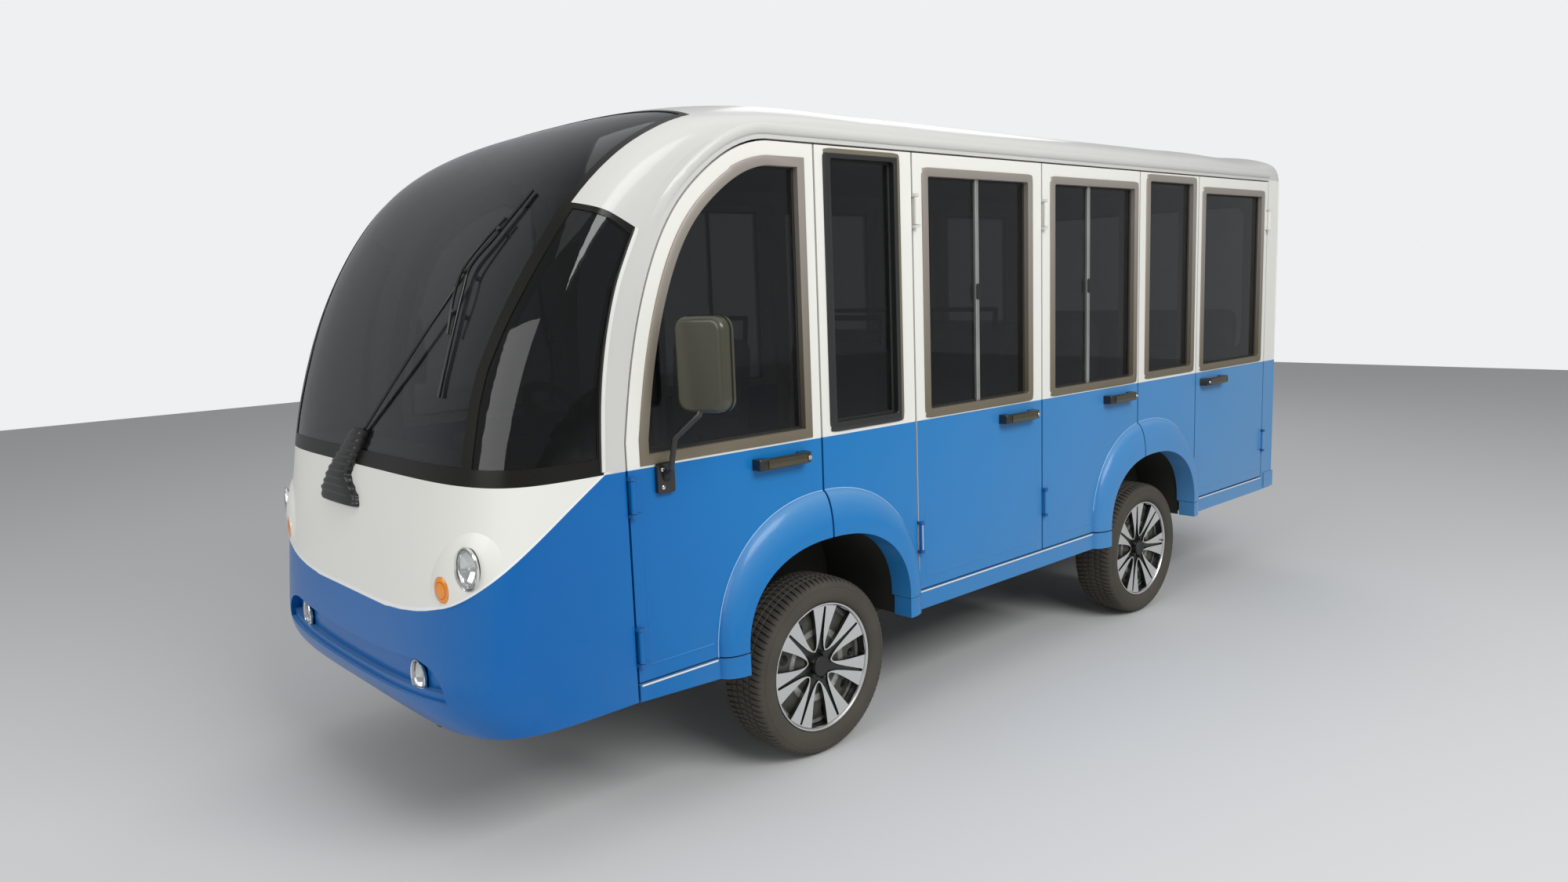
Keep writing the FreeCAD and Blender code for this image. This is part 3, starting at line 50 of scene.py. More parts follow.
class Wire:
    # one output socket; arithmetic on wires adds Math nodes
    def __init__(self, finish, socket):
        self.finish = finish
        self.socket = socket

    def calc(self, operation, *others):
        return self.finish.node("ShaderNodeMath", {"operation": operation}, dict(enumerate((self,) + others)))

    def __add__(self, other):
        return self.calc("ADD", other)

    def __sub__(self, other):
        return self.calc("SUBTRACT", other)

    def __rsub__(self, other):
        return self.calc("MULTIPLY", -1.0).calc("ADD", other)

    def __mul__(self, other):
        return self.calc("MULTIPLY", other)

    def __truediv__(self, other):
        return self.calc("DIVIDE", other)

    def __pow__(self, other):
        return self.calc("POWER", other)

    def __mod__(self, other):
        return self.calc("FLOORED_MODULO", other)

    def __abs__(self):
        return self.calc("ABSOLUTE")

    __radd__, __rmul__ = __add__, __mul__

    def least(self, other):
        return self.calc("MINIMUM", other)

    def most(self, other):
        return self.calc("MAXIMUM", other)

    def step(self, low, high):
        # 0 below low, 1 above high, straight between them
        return self.finish.node("ShaderNodeMapRange", {"clamp": True},
            {"Value": self, "From Min": low, "From Max": high})

    def rib(self, pitch):
        # goes from 1 to 0 and back within each pitch, straight both ways
        return abs((self / pitch) % 1.0 - 0.5)


class Finish:
    # one material round a Principled shader; constants are set on its own sockets
    def __init__(self, name, constants):
        self.material = bpy.data.materials.new(name)
        self.material.use_nodes = True
        self.tree = self.material.node_tree
        self.shader = self.tree.nodes["Principled BSDF"]
        for key, value in constants.items():
            self.shader.inputs[key].default_value = value

    def node(self, kind, settings=None, sockets=None, out=0):
        made = self.tree.nodes.new(kind)
        for key, value in (settings or {}).items():
            setattr(made, key, value)
        for key, value in (sockets or {}).items():
            if isinstance(value, Wire):
                self.tree.links.new(value.socket, made.inputs[key])
            else:
                made.inputs[key].default_value = value
        return Wire(self, made.outputs[out])

    def place(self):
        return self.node("ShaderNodeTexCoord", out="Object")

    def axes(self):
        # x, y and z of the place on the piece
        spot = self.place()
        return [self.node("ShaderNodeSeparateXYZ", {}, {0: spot}, out=k) for k in range(3)]

    def noise(self, scale, detail=3.0, roughness=0.5, vector=None):
        return self.node("ShaderNodeTexNoise", {}, {"Vector": vector or self.place(), "Scale": scale,
                "Detail": detail, "Roughness": roughness})

    def blend(self, factor, first, second):
        return self.node("ShaderNodeMix", {"data_type": "RGBA"}, {0: factor, 6: first, 7: second}, out=2)

    def feed(self, socket, wire):
        self.tree.links.new(wire.socket, self.shader.inputs[socket])

    def bump(self, height, strength, distance):
        self.feed("Normal", self.node("ShaderNodeBump", {}, {"Height": height, "Strength": strength,
                "Distance": distance}))

    def grained(self, pattern, least, spread, strength, distance):
        # roughness and height both follow one pattern; a look's "surface" holds the four numbers after it
        self.feed("Roughness", pattern * spread + least)
        self.bump(pattern, strength, distance)


def paintOf(red, green, blue):
    # display colour in 0..255 to a linear colour
    out = []
    for value in (red, green, blue):
        c = value / 255.0
        out.append(c / 12.92 if c <= 0.04045 else ((c + 0.055) / 1.055) ** 2.4)
    return tuple(out) + (1.0,)


def dress(look, *names):
    for name in names:
        data = nodes[name].data
        data.materials.clear()
        data.materials.append(finishes[look].material)


def bodySplit(paint, x, y, z, lift=0.0):
    # 1 above the two-colour split: level along the belt, then falling over the nose as a power of the way forward
    split = {"beltZ": 1.044, "smileZ": 0.682, "frontY": -2.253, "backY": -1.848, "power": 0.72, "half": 0.0008}
    run = (y - split["frontY"]).most(0.0) / (split["backY"] - split["frontY"])
    line = (run.least(1.0) ** split["power"]) * (split["beltZ"] - split["smileZ"]) + split["smileZ"]
    return (z - line).step(lift - split["half"], lift + split["half"])


def makeBodyPaint(name, plain):
    look = {"blue": paintOf(22, 120, 188), "shadedBlue": paintOf(2, 97, 170), "sheenBlue": paintOf(108, 158, 202),
        "highlightWhite": paintOf(240, 241, 240), "dust": paintOf(120, 128, 130), "shadeY": (-1.95, -1.15),
        "sheenY": (-1.0, 2.3), "sky": (0.05, 0.6), "sheenShare": 0.7, "dustZ": (0.33, 0.62), "dustShare": 0.12,
        "seamY": -0.594, "seamHalf": 0.0009, "highlightTall": 0.007, "highlightEndY": (-1.86, -1.82), "mottle": (1.7, 2.0),
        "shadeShift": 0.2, "sheenShift": 0.3, "grit": (5.0, 5.0), "gritSpan": (0.4, 0.75), "grain": (240.0, 2.0),
        "surface": (0.27, 0.05, 0.04, 0.0006)}
    paint = Finish(name, {"Specular IOR Level": 0.22, "Coat Weight": 0.2, "Coat Roughness": 0.04})
    x, y, z = paint.axes()
    mottle = paint.noise(*look["mottle"])
    # painted shade: the blue darkens towards the nose, whose lower faces look down and forward
    deep = 1.0 - (y + mottle * look["shadeShift"]).step(*look["shadeY"])
    blue = paint.blend(deep, look["blue"], look["shadedBlue"])
    # painted sheen: a lighter blue a little towards the rear, standing for the haze's reflection there, and where
    # faces look at the sky, standing for the sky's light on them
    paintedSheen = (y + mottle * look["sheenShift"]).step(*look["sheenY"]) * look["sheenShare"]
    upward = paint.node("ShaderNodeSeparateXYZ", {}, {0: paint.node("ShaderNodeNewGeometry", out=1)}, out=2)
    paintedSheen = paintedSheen.most(upward.step(*look["sky"]) * look["sheenShare"])
    blue = paint.blend(paintedSheen, blue, look["sheenBlue"])
    # grime gathers towards the ground
    dust = (1.0 - z.step(*look["dustZ"])) * paint.noise(*look["grit"]).step(*look["gritSpan"]) * look["dustShare"]
    blue = paint.blend(dust, blue, look["dust"])
    # the edge of the second door that its front gap shows is left in the light colour
    seam = 1.0 - abs(y - look["seamY"]).step(look["seamHalf"] * 0.8, look["seamHalf"])
    above = bodySplit(paint, x, y, z)
    # painted highlight: a whiter band just above the split over the nose, where that edge catches the light
    rim = (above - bodySplit(paint, x, y, z, look["highlightTall"])) * (1.0 - y.step(*look["highlightEndY"]))
    cream = paint.blend(rim, plain, look["highlightWhite"])
    paint.feed("Base Color", paint.blend(above.most(seam), blue, cream))
    paint.grained(paint.noise(*look["grain"]), *look["surface"])
    return paint


def makeFramePaint():
    # cream frame, dark behind the front door's gap; the hinges outside it take the body's colours, their blue darker
    # than the body's as painted shade
    look = {"cream": paintOf(214, 212, 204), "dark": paintOf(22, 22, 21), "blue": paintOf(16, 92, 158),
        "outX": 0.7292, "darkY": -1.2, "grain": (160.0, 3.0), "surface": (0.36, 0.12, 0.15, 0.0004)}
    paint = Finish("framePaint", {"Coat Weight": 0.2, "Coat Roughness": 0.1})
    x, y, z = paint.axes()
    inner = paint.blend(y.step(look["darkY"] - 0.001, look["darkY"]), look["dark"], look["cream"])
    # painted shade: below the split the hinges take a blue darker than the body's
    outer = paint.blend(bodySplit(paint, x, y, z), look["blue"], look["cream"])
    paint.feed("Base Color", paint.blend(abs(x).step(look["outX"] - 0.0002, look["outX"]), inner, outer))
    paint.grained(paint.noise(*look["grain"]), *look["surface"])
    return paint


def makeMirrorShell():
    # olive-black housing over a black foot and stem
    look = {"shell": paintOf(58, 58, 42), "foot": paintOf(22, 22, 21), "splitZ": (1.175, 1.195),
        "grain": (260.0, 2.0), "surface": (0.34, 0.12, 0.12, 0.0003)}
    shell = Finish("mirrorShell", {"Coat Weight": 0.55, "Coat Roughness": 0.12})
    x, y, z = shell.axes()
    shell.feed("Base Color", shell.blend(z.step(*look["splitZ"]), look["foot"], look["shell"]))
    shell.grained(shell.noise(*look["grain"]), *look["surface"])
    return shell


def makePaneBorder():
    # border of the fixed panes: dark like the glass, brown along its top and rear
    look = {"dark": paintOf(34, 34, 34), "brown": paintOf(112, 104, 86), "topZ": 1.912,
        "rears": ((-0.674, -0.55), (1.347, 1.45)), "soft": 0.001, "grain": (220.0, 2.0),
        "surface": (0.35, 0.1, 0.1, 0.0003)}
    border = Finish("paneBorder", {"Coat Weight": 0.3, "Coat Roughness": 0.1})
    x, y, z = border.axes()
    brown = z.step(look["topZ"] - look["soft"], look["topZ"])
    for low, high in look["rears"]:
        brown = brown.most(y.step(low - look["soft"], low) * (1.0 - y.step(high, high + look["soft"])))
    fine = border.noise(*look["grain"])
    border.feed("Base Color", border.blend(brown * (fine * 0.3 + 0.85), look["dark"], look["brown"]))
    border.grained(fine, *look["surface"])
    return border


def makeGlass(name, tint):
    # tinted pane with faint smears that dull it here and there
    look = {"ior": 1.45, "smear": (6.0, 4.0), "span": (0.45, 0.8), "spread": 0.05, "least": 0.01}
    glass = Finish(name, {"Base Color": tint, "Transmission Weight": 1.0, "IOR": look["ior"]})
    smear = glass.noise(*look["smear"])
    glass.feed("Roughness", smear.step(*look["span"]) * look["spread"] + look["least"])
    return glass


def makeWindowMetal():
    # warm grey aluminium that turns brown towards the foot of the windows
    look = {"top": paintOf(162, 154, 146), "foot": paintOf(124, 115, 96), "span": (1.05, 1.75),
        "stretch": (40.0, 300.0, 40.0), "brush": (1.0, 3.0, 0.6), "surface": (0.34, 0.18, 0.1, 0.0002)}
    metal = Finish("windowMetal", {"Metallic": 0.4, "Coat Weight": 0.1})
    x, y, z = metal.axes()
    along = dict(enumerate(axis * stretch for axis, stretch in zip((x, y, z), look["stretch"])))
    brush = metal.noise(*look["brush"], metal.node("ShaderNodeCombineXYZ", {}, along))
    metal.feed("Base Color", metal.blend(z.step(*look["span"]), look["foot"], look["top"]))
    metal.grained(brush, *look["surface"])
    return metal


def mould(lens, pattern):
    # the lens's roughness follows a fine noise and its height the pattern moulded into it
    look = {"grain": (80.0, 2.0), "spread": 0.08, "least": 0.12, "strength": 0.2, "distance": 0.0006}
    lens.feed("Roughness", lens.noise(*look["grain"]) * look["spread"] + look["least"])
    lens.bump(pattern, look["strength"], look["distance"])


def makeAmberLens():
    # upright ribs inside the lens show as bands of lighter and darker amber
    look = {"light": paintOf(246, 164, 36), "dark": paintOf(226, 116, 10), "ringColour": paintOf(180, 84, 8),
        "ringShare": 0.8, "pitch": 0.006, "middleX": 0.57, "middleZ": 0.7775, "halfW": 0.03, "halfH": 0.036,
        "ring": 0.62, "ringHalf": 0.06}
    lens = Finish("lampAmber", {"Coat Weight": 0.8, "Coat Roughness": 0.05})
    x, y, z = lens.axes()
    rib = x.rib(look["pitch"]) * 2.0
    # an oval ring inside: the distance from the lamp's middle in shares of its half sizes
    aside, up = (abs(x) - look["middleX"]) / look["halfW"], (z - look["middleZ"]) / look["halfH"]
    share = (aside * aside + up * up) ** 0.5
    ring = 1.0 - abs(share - look["ring"]).step(look["ringHalf"] * 0.5, look["ringHalf"])
    colour = lens.blend(rib, look["dark"], look["light"])
    lens.feed("Base Color", lens.blend(ring * look["ringShare"], colour, look["ringColour"]))
    mould(lens, rib)
    return lens


def makeRedLens():
    # three fields: red over amber over clear, with a fine square grid moulded in
    look = {"red": paintOf(168, 22, 20), "amber": paintOf(220, 120, 20), "clear": paintOf(206, 206, 202),
        "grid": paintOf(60, 10, 10), "gridShare": 0.35, "fields": (0.778, 0.842), "half": 0.0005, "pitch": 0.007,
        "gridSpan": (0.75, 1.0)}
    lens = Finish("lampRed", {"Coat Weight": 0.8, "Coat Roughness": 0.05})
    x, y, z = lens.axes()
    colour = look["clear"]
    for edge, above in zip(look["fields"], (look["amber"], look["red"])):
        colour = lens.blend(z.step(edge - look["half"], edge + look["half"]), colour, above)
    grid = x.rib(look["pitch"]).most(z.rib(look["pitch"])) * 2.0
    lens.feed("Base Color", lens.blend(grid.step(*look["gridSpan"]) * look["gridShare"], colour, look["grid"]))
    mould(lens, grid)
    return lens


def wheelPlace(finish):
    # how far out from the wheel's middle plane and from its axle a place on the wheel lies
    x, y, z = finish.axes()
    along = abs(y - wheel["front"]).least(abs(y - wheel["rear"]))
    return abs(x) - wheel["out"], (along * along + (z - wheel["high"]) ** 2) ** 0.5


def makeDiscSteel():
    # dark painted steel with a bright turned band and a bright outer edge; the black in its sunk holes is painted
    # shade
    look = {"paint": paintOf(58, 57, 50), "bright": paintOf(206, 206, 200), "black": paintOf(12, 12, 11),
        "sunk": (0.0335, 0.0395), "band": (0.098, 0.118), "bandSoft": 0.006, "edgeR": (0.182, 0.186),
        "blotch": (22.0, 3.0), "blotchSpan": (0.42, 0.62), "dullest": 0.3, "metal": 0.8, "least": 0.28,
        "spread": 0.1}
    steel = Finish("discSteel", {})
    out, radius = wheelPlace(steel)
    low, high = look["band"]
    band = radius.step(low, low + look["bandSoft"]) * (1.0 - radius.step(high, high + look["bandSoft"]))
    bright = band.most(radius.step(*look["edgeR"]))
    blotch = steel.noise(*look["blotch"]).step(*look["blotchSpan"])
    bright = bright * (blotch * (1.0 - look["dullest"]) + look["dullest"])
    colour = steel.blend(bright, look["paint"], look["bright"])
    # painted shade: black where the disc sinks into its holes
    holeShade = 1.0 - out.step(*look["sunk"])
    steel.feed("Base Color", steel.blend(holeShade, colour, look["black"]))
    steel.feed("Metallic", bright * look["metal"])
    steel.feed("Roughness", blotch * look["spread"] + look["least"])
    return steel


def makePlain(name, colour, roughness, grain=180.0, depth=0.0003, spread=0.12, metallic=0.0, constants=None):
    # one colour broken up by two sizes of noise, with a fine grain in its height
    plain = Finish(name, {"Metallic": metallic, **(constants or {})})
    wide = plain.noise(7.0, 3.0)
    fine = plain.noise(grain, 3.0)
    shade, lift = [tuple(min(c * (1.0 + change), 1.0) for c in colour[:3]) + (1.0,) for change in (-spread, spread)]
    plain.feed("Base Color", plain.blend(wide.step(0.3, 0.7), shade, lift))
    plain.grained(fine, roughness - 0.07, 0.14, 0.25, depth)
    return plain


def makeClear(name, tint, smooth, ior):
    # clear moulded plastic with faint upright flutes and a film of dust
    clear = Finish(name, {"Transmission Weight": 1.0, "IOR": ior})
    x, y, z = clear.axes()
    flute = x.rib(0.008) * 2.0
    dust = clear.noise(60.0, 3.0)
    dull = tuple(c * 0.94 for c in tint[:3]) + (1.0,)
    clear.feed("Base Color", clear.blend(dust.step(0.4, 0.7), tint, dull))
    clear.feed("Roughness", dust * 0.05 + smooth)
    clear.bump(flute, 0.1, 0.0004)
    return clear


def makeWheelAlloy():
    # bright machined face and rim edge over black pockets: bright where the place lies out past the face line,
    # which rises with the radius; out is measured from the wheel's middle plane
    look = {"bright": paintOf(216, 216, 214), "black": paintOf(20, 20, 19), "hubR": 0.052, "rimR": 0.2005,
        "faceIn": 0.0574, "rise": 0.093, "riseR": 0.05, "edgeX": 0.07, "faceHalf": 0.0003, "soft": 0.0005,
        "rimSoft": 0.0004, "grain": (120.0, 2.0), "marks": (1.0, 2.0, 0.6), "markR": 900.0, "markOut": 30.0,
        "metal": 0.8, "dull": 0.32, "smoother": -0.12, "spread": 0.1}
    alloy = Finish("wheelAlloy", {"Coat Weight": 0.35, "Coat Roughness": 0.12})
    out, radius = wheelPlace(alloy)
    line = (radius - look["riseR"]) * look["rise"] + look["faceIn"]
    face = (out - line).step(-look["faceHalf"], look["faceHalf"]) * radius.step(look["hubR"] - look["soft"],
        look["hubR"] + look["soft"])
    rim = radius.step(look["rimR"], look["rimR"] + look["rimSoft"])
    face = face * (1.0 - rim)
    edge = out.step(look["edgeX"] - look["soft"], look["edgeX"] + look["soft"]) * rim
    bright = face.most(edge)
    grain = alloy.noise(*look["grain"])
    # fine turning marks round the axle
    marks = alloy.noise(*look["marks"], alloy.node("ShaderNodeCombineXYZ", {},
            {0: radius * look["markR"], 1: out * look["markOut"]}))
    alloy.feed("Base Color", alloy.blend(bright, look["black"], look["bright"]))
    alloy.feed("Metallic", bright * look["metal"])
    alloy.feed("Roughness", grain * look["spread"] + marks * look["spread"]
        + (bright * look["smoother"] + look["dull"]))
    return alloy


finishes = {"bodyPaint": makeBodyPaint("bodyPaint", paintOf(232, 231, 224)),
    # painted shade: the roof takes a darker copy of the body's cream, against the strong light that falls on its top
    "roofPaintShaded": makeBodyPaint("roofPaintShaded", paintOf(204, 203, 199)),
    "tintedGlass": makeGlass("tintedGlass", (0.2, 0.205, 0.21, 1.0)),
    "cornerGlass": makeGlass("cornerGlass", (0.055, 0.057, 0.06, 1.0)),
    "lampClear": makeClear("lampClear", (0.92, 0.94, 0.95, 1.0), 0.03, 1.45),
    "lensClear": makeClear("lensClear", (0.96, 0.97, 0.98, 1.0), 0.02, 1.35),
    "bulbGlass": makePlain("bulbGlass", (0.95, 0.95, 0.93, 1.0), 0.15, grain=120.0, spread=0.03,
        constants={"Coat Weight": 0.5}), "lampAmber": makeAmberLens(), "lampRed": makeRedLens(),
    "wheelAlloy": makeWheelAlloy(), "windowMetal": makeWindowMetal(), "discSteel": makeDiscSteel(),
    "framePaint": makeFramePaint(), "mirrorShell": makeMirrorShell(), "paneBorder": makePaneBorder()}
# display colour, roughness and what differs from makePlain's own values
plainLooks = {"blackPlastic": ((30, 31, 28), 0.5, {}), "softBlack": ((46, 45, 38), 0.75, {}),
    "frameSteel": ((40, 40, 41), 0.5, {"constants": {"Coat Weight": 0.2}}),
    "ironPaint": ((36, 36, 36), 0.6, {"metallic": 0.2}), "floorRubber": ((66, 66, 66), 0.8, {"grain": 90.0}),
    "seatVinyl": ((150, 152, 156), 0.5, {"grain": 320.0}), "trimGrey": ((150, 150, 146), 0.6, {}),
    "tyreRubber": ((72, 68, 60), 0.85, {"grain": 300.0}),
    "satinMetal": ((178, 180, 174), 0.38, {"grain": 260.0, "metallic": 0.75}),
    "chrome": ((226, 226, 224), 0.12, {"grain": 90.0, "depth": 0.0001, "spread": 0.03, "metallic": 1.0}),
    "mirrorSilver": ((200, 204, 206), 0.1, {"grain": 40.0, "depth": 0.0, "spread": 0.02, "metallic": 1.0}),
    "handleBronze": ((30, 29, 25), 0.36, {"constants": {"Coat Weight": 0.4, "Coat Roughness": 0.2}}),
    "handleBar": ((72, 66, 46), 0.26, {"metallic": 0.3, "constants": {"Coat Weight": 0.5, "Coat Roughness": 0.15}}),
    # the next pale colour serves the real ring round the turn lamp and the painted highlights along the sill and the
    # corner glass
    "sealRubber": ((28, 28, 27), 0.7, {}), "paleTrimAndHighlight": ((226, 226, 220), 0.3,
        {"spread": 0.03, "constants": {"Coat Weight": 0.5}}),
    # painted highlight colour for the beads along the arch flares
    "sheenBlue": ((168, 204, 236), 0.25, {"spread": 0.04, "constants": {"Coat Weight": 0.6}}),
    "wiperBlack": ((20, 20, 19), 0.42, {"constants": {"Coat Weight": 0.25, "Coat Roughness": 0.2}}),
    "surroundBlack": ((22, 21, 17), 0.3, {"constants": {"Specular IOR Level": 0.25}})}
for look, (colour, roughness, extras) in plainLooks.items():
    finishes[look] = makePlain(look, paintOf(*colour), roughness, **extras)

for side in sides:
    for number in (1, 2, 3, 4):
        dress("bodyPaint", "door%d_%s" % (number, side))
        dress("tintedGlass", "door%d_glass_%s" % (number, side))
    dress("mirrorShell", "mirror_" + side)
    dress("ironPaint", "knuckle_" + side)
for spot, sign, axleY in wheelSpots:
    dress("tyreRubber", "tyre_" + spot)
    dress("wheelAlloy", "rim_" + spot)
dress("bodyPaint", "nose_panel", "rear_panel", "rear_bumper", "sills", "fixed_panels")
dress("roofPaintShaded", "roof_shell")
dress("tintedGlass", "windscreen", "fixed_glass", "rear_glass")
dress("cornerGlass", "quarter_glass")
dress("surroundBlack", "screen_surround")
dress("blackPlastic", "wiper", "steering_wheel")
dress("softBlack", "wheel_liners", "battery_pack")
dress("frameSteel", "chassis_frame", "seat_frames")
dress("framePaint", "side_frames")
dress("ironPaint", "front_axle", "rear_axle", "drive_motor")
dress("floorRubber", "floor")
dress("trimGrey", "dashboard")
dress("seatVinyl", "seat_pads")
dress("lampClear", "headlamps", "fog_lamps")
dress("lampAmber", "turn_lamps")
dress("lampRed", "tail_lamps")
print("finishes assigned")


# a form is its points and a list of face arrays, so that forms can be joined into one piece
eastward, northward, upward = np.eye(3)


def unit(vectors):
    return vectors / np.linalg.norm(vectors, axis=-1, keepdims=True)


def gridFaces(rows, columns, wrapRows, wrapColumns):
    # quads between neighbouring rows and columns; a wrapped way also joins its last to its first
    a, b = np.meshgrid(np.arange(rows - (not wrapRows)), np.arange(columns - (not wrapColumns)), indexing="ij")
    nextA, nextB = (a + 1) % rows, (b + 1) % columns
    corners = [a * columns + b, a * columns + nextB, nextA * columns + nextB, nextA * columns + b]
    return np.stack(corners, -1).reshape(-1, 4)


def mitred(path, closed, leastCosine=0.35):
    # the way along the path at each point, and one over the cosine of half the turn there
    ahead = np.roll(path, -1, 0) - path
    if not closed:
        ahead[-1] = ahead[-2]
    ahead = unit(ahead)
    behind = np.roll(ahead, 1, 0)
    if not closed:
        behind[0] = ahead[0]
    way = unit(ahead + behind)
    return way, 1.0 / np.clip(np.sum(way * ahead, 1), leastCosine, 1.0)


def carried(path, profile, up, closed=False):
    # each profile point stands off the path by its first number sideways, stretched at the corners,
    # and by its second along up
    path = np.asarray(path, float)
    profile = np.asarray(profile, float)
    way, stretch = mitred(path, closed)
    up = np.broadcast_to(np.asarray(up, float), path.shape)
    rise = unit(up - way * np.sum(up * way, 1)[:, None])
    side = np.cross(way, rise)
    spots = (path[:, None] + side[:, None] * profile[None, :, :1] * stretch[:, None, None]
        + rise[:, None] * profile[None, :, 1:])
    rows, columns = len(path), len(profile)
    faces = [gridFaces(rows, columns, closed, True)]
    if not closed:
        faces += [np.arange(columns)[None], (rows - 1) * columns + np.arange(columns)[None, ::-1]]
    return spots.reshape(-1, 3), faces


def even(half):
    # a section from its half: the half and its mirror image, with a point on the middle line kept once
    return half + [(-aside, height) for aside, height in half[::-1] if aside]


def smoothPath(points, count):
    # natural run through the points: each coordinate is a cubic of the length along the line
    points = np.asarray(points, float)
    length = np.concatenate([[0.0], np.cumsum(np.linalg.norm(np.diff(points, axis=0), axis=1))])
    slope = np.gradient(points, length, axis=0)
    t = np.linspace(0.0, length[-1], count)
    k = np.clip(np.searchsorted(length, t, side="right") - 1, 0, len(points) - 2)
    gap = (length[k + 1] - length[k])[:, None]
    u = ((t - length[k]) / gap[:, 0])[:, None]
    return ((2 * u ** 3 - 3 * u ** 2 + 1) * points[k] + (u ** 3 - 2 * u ** 2 + u) * gap * slope[k]
        + (3 * u ** 2 - 2 * u ** 3) * points[k + 1] + (u ** 3 - u ** 2) * gap * slope[k + 1])


def roundedLoop(a0, a1, b0, b1, radius, steps=6):
    # rectangle with quarter circles at its corners, anticlockwise
    turn = np.linspace(0.0, np.pi / 2, steps)
    corners = [(a1 - radius, b0 + radius, -0.5), (a1 - radius, b1 - radius, 0.0), (a0 + radius, b1 - radius, 0.5),
        (a0 + radius, b0 + radius, 1.0)]
    parts = [np.stack([a + radius * np.cos(turn + np.pi * start), b + radius * np.sin(turn + np.pi * start)], 1)
        for a, b, start in corners]
    return np.concatenate(parts)


def plate(loop, rows, origin, first, second, normal):
    # a flat outline drawn in by the first number of each row and lifted by the second, then closed flat
    loop = np.asarray(loop, float)
    middle = loop.mean(0)
    reach = np.abs(loop - middle).max(0)
    spots = []
    for inset, lift in rows:
        flat = middle + (loop - middle) * (1.0 - inset / reach)
        spots.append(np.asarray(origin) + flat[:, :1] * first + flat[:, 1:] * second + lift * np.asarray(normal))
    count = len(loop)
    faces = [gridFaces(len(rows), count, False, True), np.arange(count)[None, ::-1],
        (len(rows) - 1) * count + np.arange(count)[None]]
    return np.concatenate(spots), faces


def turned(rows, origin, axis, across, count=32, wrap=False):
    # circles round an axis: each row is a place along the axis and a radius; wrap closes the section on itself
    rows = np.asarray(rows, float)
    axis = unit(np.asarray(axis, float))
    across = unit(np.asarray(across, float))
    third = np.cross(axis, across)
    angle = np.arange(count) * 2 * np.pi / count
    ring = np.cos(angle)[:, None] * across + np.sin(angle)[:, None] * third
    spots = (np.asarray(origin, float) + rows[:, None, :1] * axis + rows[:, None, 1:] * ring[None])
    faces = [gridFaces(len(rows), count, wrap, True)]
    if not wrap:
        faces += [np.arange(count)[None], (len(rows) - 1) * count + np.arange(count)[None, ::-1]]
    return spots.reshape(-1, 3), faces


def mirrored(form):
    return form[0] * np.array([-1.0, 1.0, 1.0]), form[1]


def makePiece(name, forms, look, body="body", crease=32.0):
    # joins the forms, merges poles and seams, turns the faces outwards and gives the piece its body
    faces, start = [], 0
    for spots, blocks in forms:
        for block in blocks:
            faces += (block + start).tolist()
        start += len(spots)
    mesh = bpy.data.meshes.new(name)
    mesh.from_pydata(np.concatenate([spots for spots, blocks in forms]), [], faces)
    work = bmesh.new()
    work.from_mesh(mesh)
    bmesh.ops.remove_doubles(work, verts=work.verts, dist=1e-6)
    bmesh.ops.recalc_face_normals(work, faces=work.faces)
    work.to_mesh(mesh)
    work.free()
    mesh.shade_smooth()
    mesh.set_sharp_from_angle(angle=math.radians(crease))
    piece = bpy.data.objects.new(name, mesh)
    bpy.context.collection.objects.link(piece)
    mesh.materials.append(finishes[look].material)
    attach(piece, body)
    return piece


def makePair(name, forms, look, door=0):
    # the left piece as drawn and the right one as its mirror image, on a door's two bodies or, with 0, on the vehicle
    bodies = ["door%d_%s_body" % (door, side) if door else "body" for side in sides]
    left = makePiece(name + "Left", forms, look, bodies[0])
    makePiece(name + "Right", [mirrored(form) for form in forms], look, bodies[1])
    return left


def outlineOf(node, low=-9.0, high=9.0):
    # a pane's outline seen from the side: its outer face's points in order round their middle
    co = np.empty(3 * len(nodes[node].data.vertices))
    nodes[node].data.vertices.foreach_get("co", co)
    co = co.reshape(-1, 3)
    co = co[(co[:, 0] > 0) & (co[:, 1] > low) & (co[:, 1] < high)]
    flat = np.unique(np.round(co[co[:, 0] > co[:, 0].max() - 1e-4][:, 1:], 5), axis=0)
    middle = (flat.min(0) + flat.max(0)) / 2
    return flat[np.argsort(np.arctan2(*(flat - middle).T[::-1]))]


def sidePath(loop):
    # an outline in y and z as a path in the plane x = 0
    return np.column_stack([np.zeros(len(loop)), loop])


def framing(loop, section, square=False):
    # a frame round a window: its inner edge keeps the window's round corners; where square holds, the outward
    # way is divided by its larger part, which brings the outer corners out to nearly sharp ones
    way, stretch = mitred(loop, True)
    outward = np.column_stack([way[:, 1], -way[:, 0]]) * stretch[:, None]
    larger = np.abs(outward).max(1)
    outward = np.where(np.broadcast_to(square, len(loop))[:, None], outward / larger[:, None], outward)
    section = np.asarray(section, float)
    flat = loop[:, None] + outward[:, None] * section[None, :, :1]
    lifted = np.broadcast_to(section[None, :, 1:], flat.shape[:2] + (1,))
    spots = np.concatenate([lifted, flat], -1)
    return spots.reshape(-1, 3), [gridFaces(len(loop), len(section), True, True)]


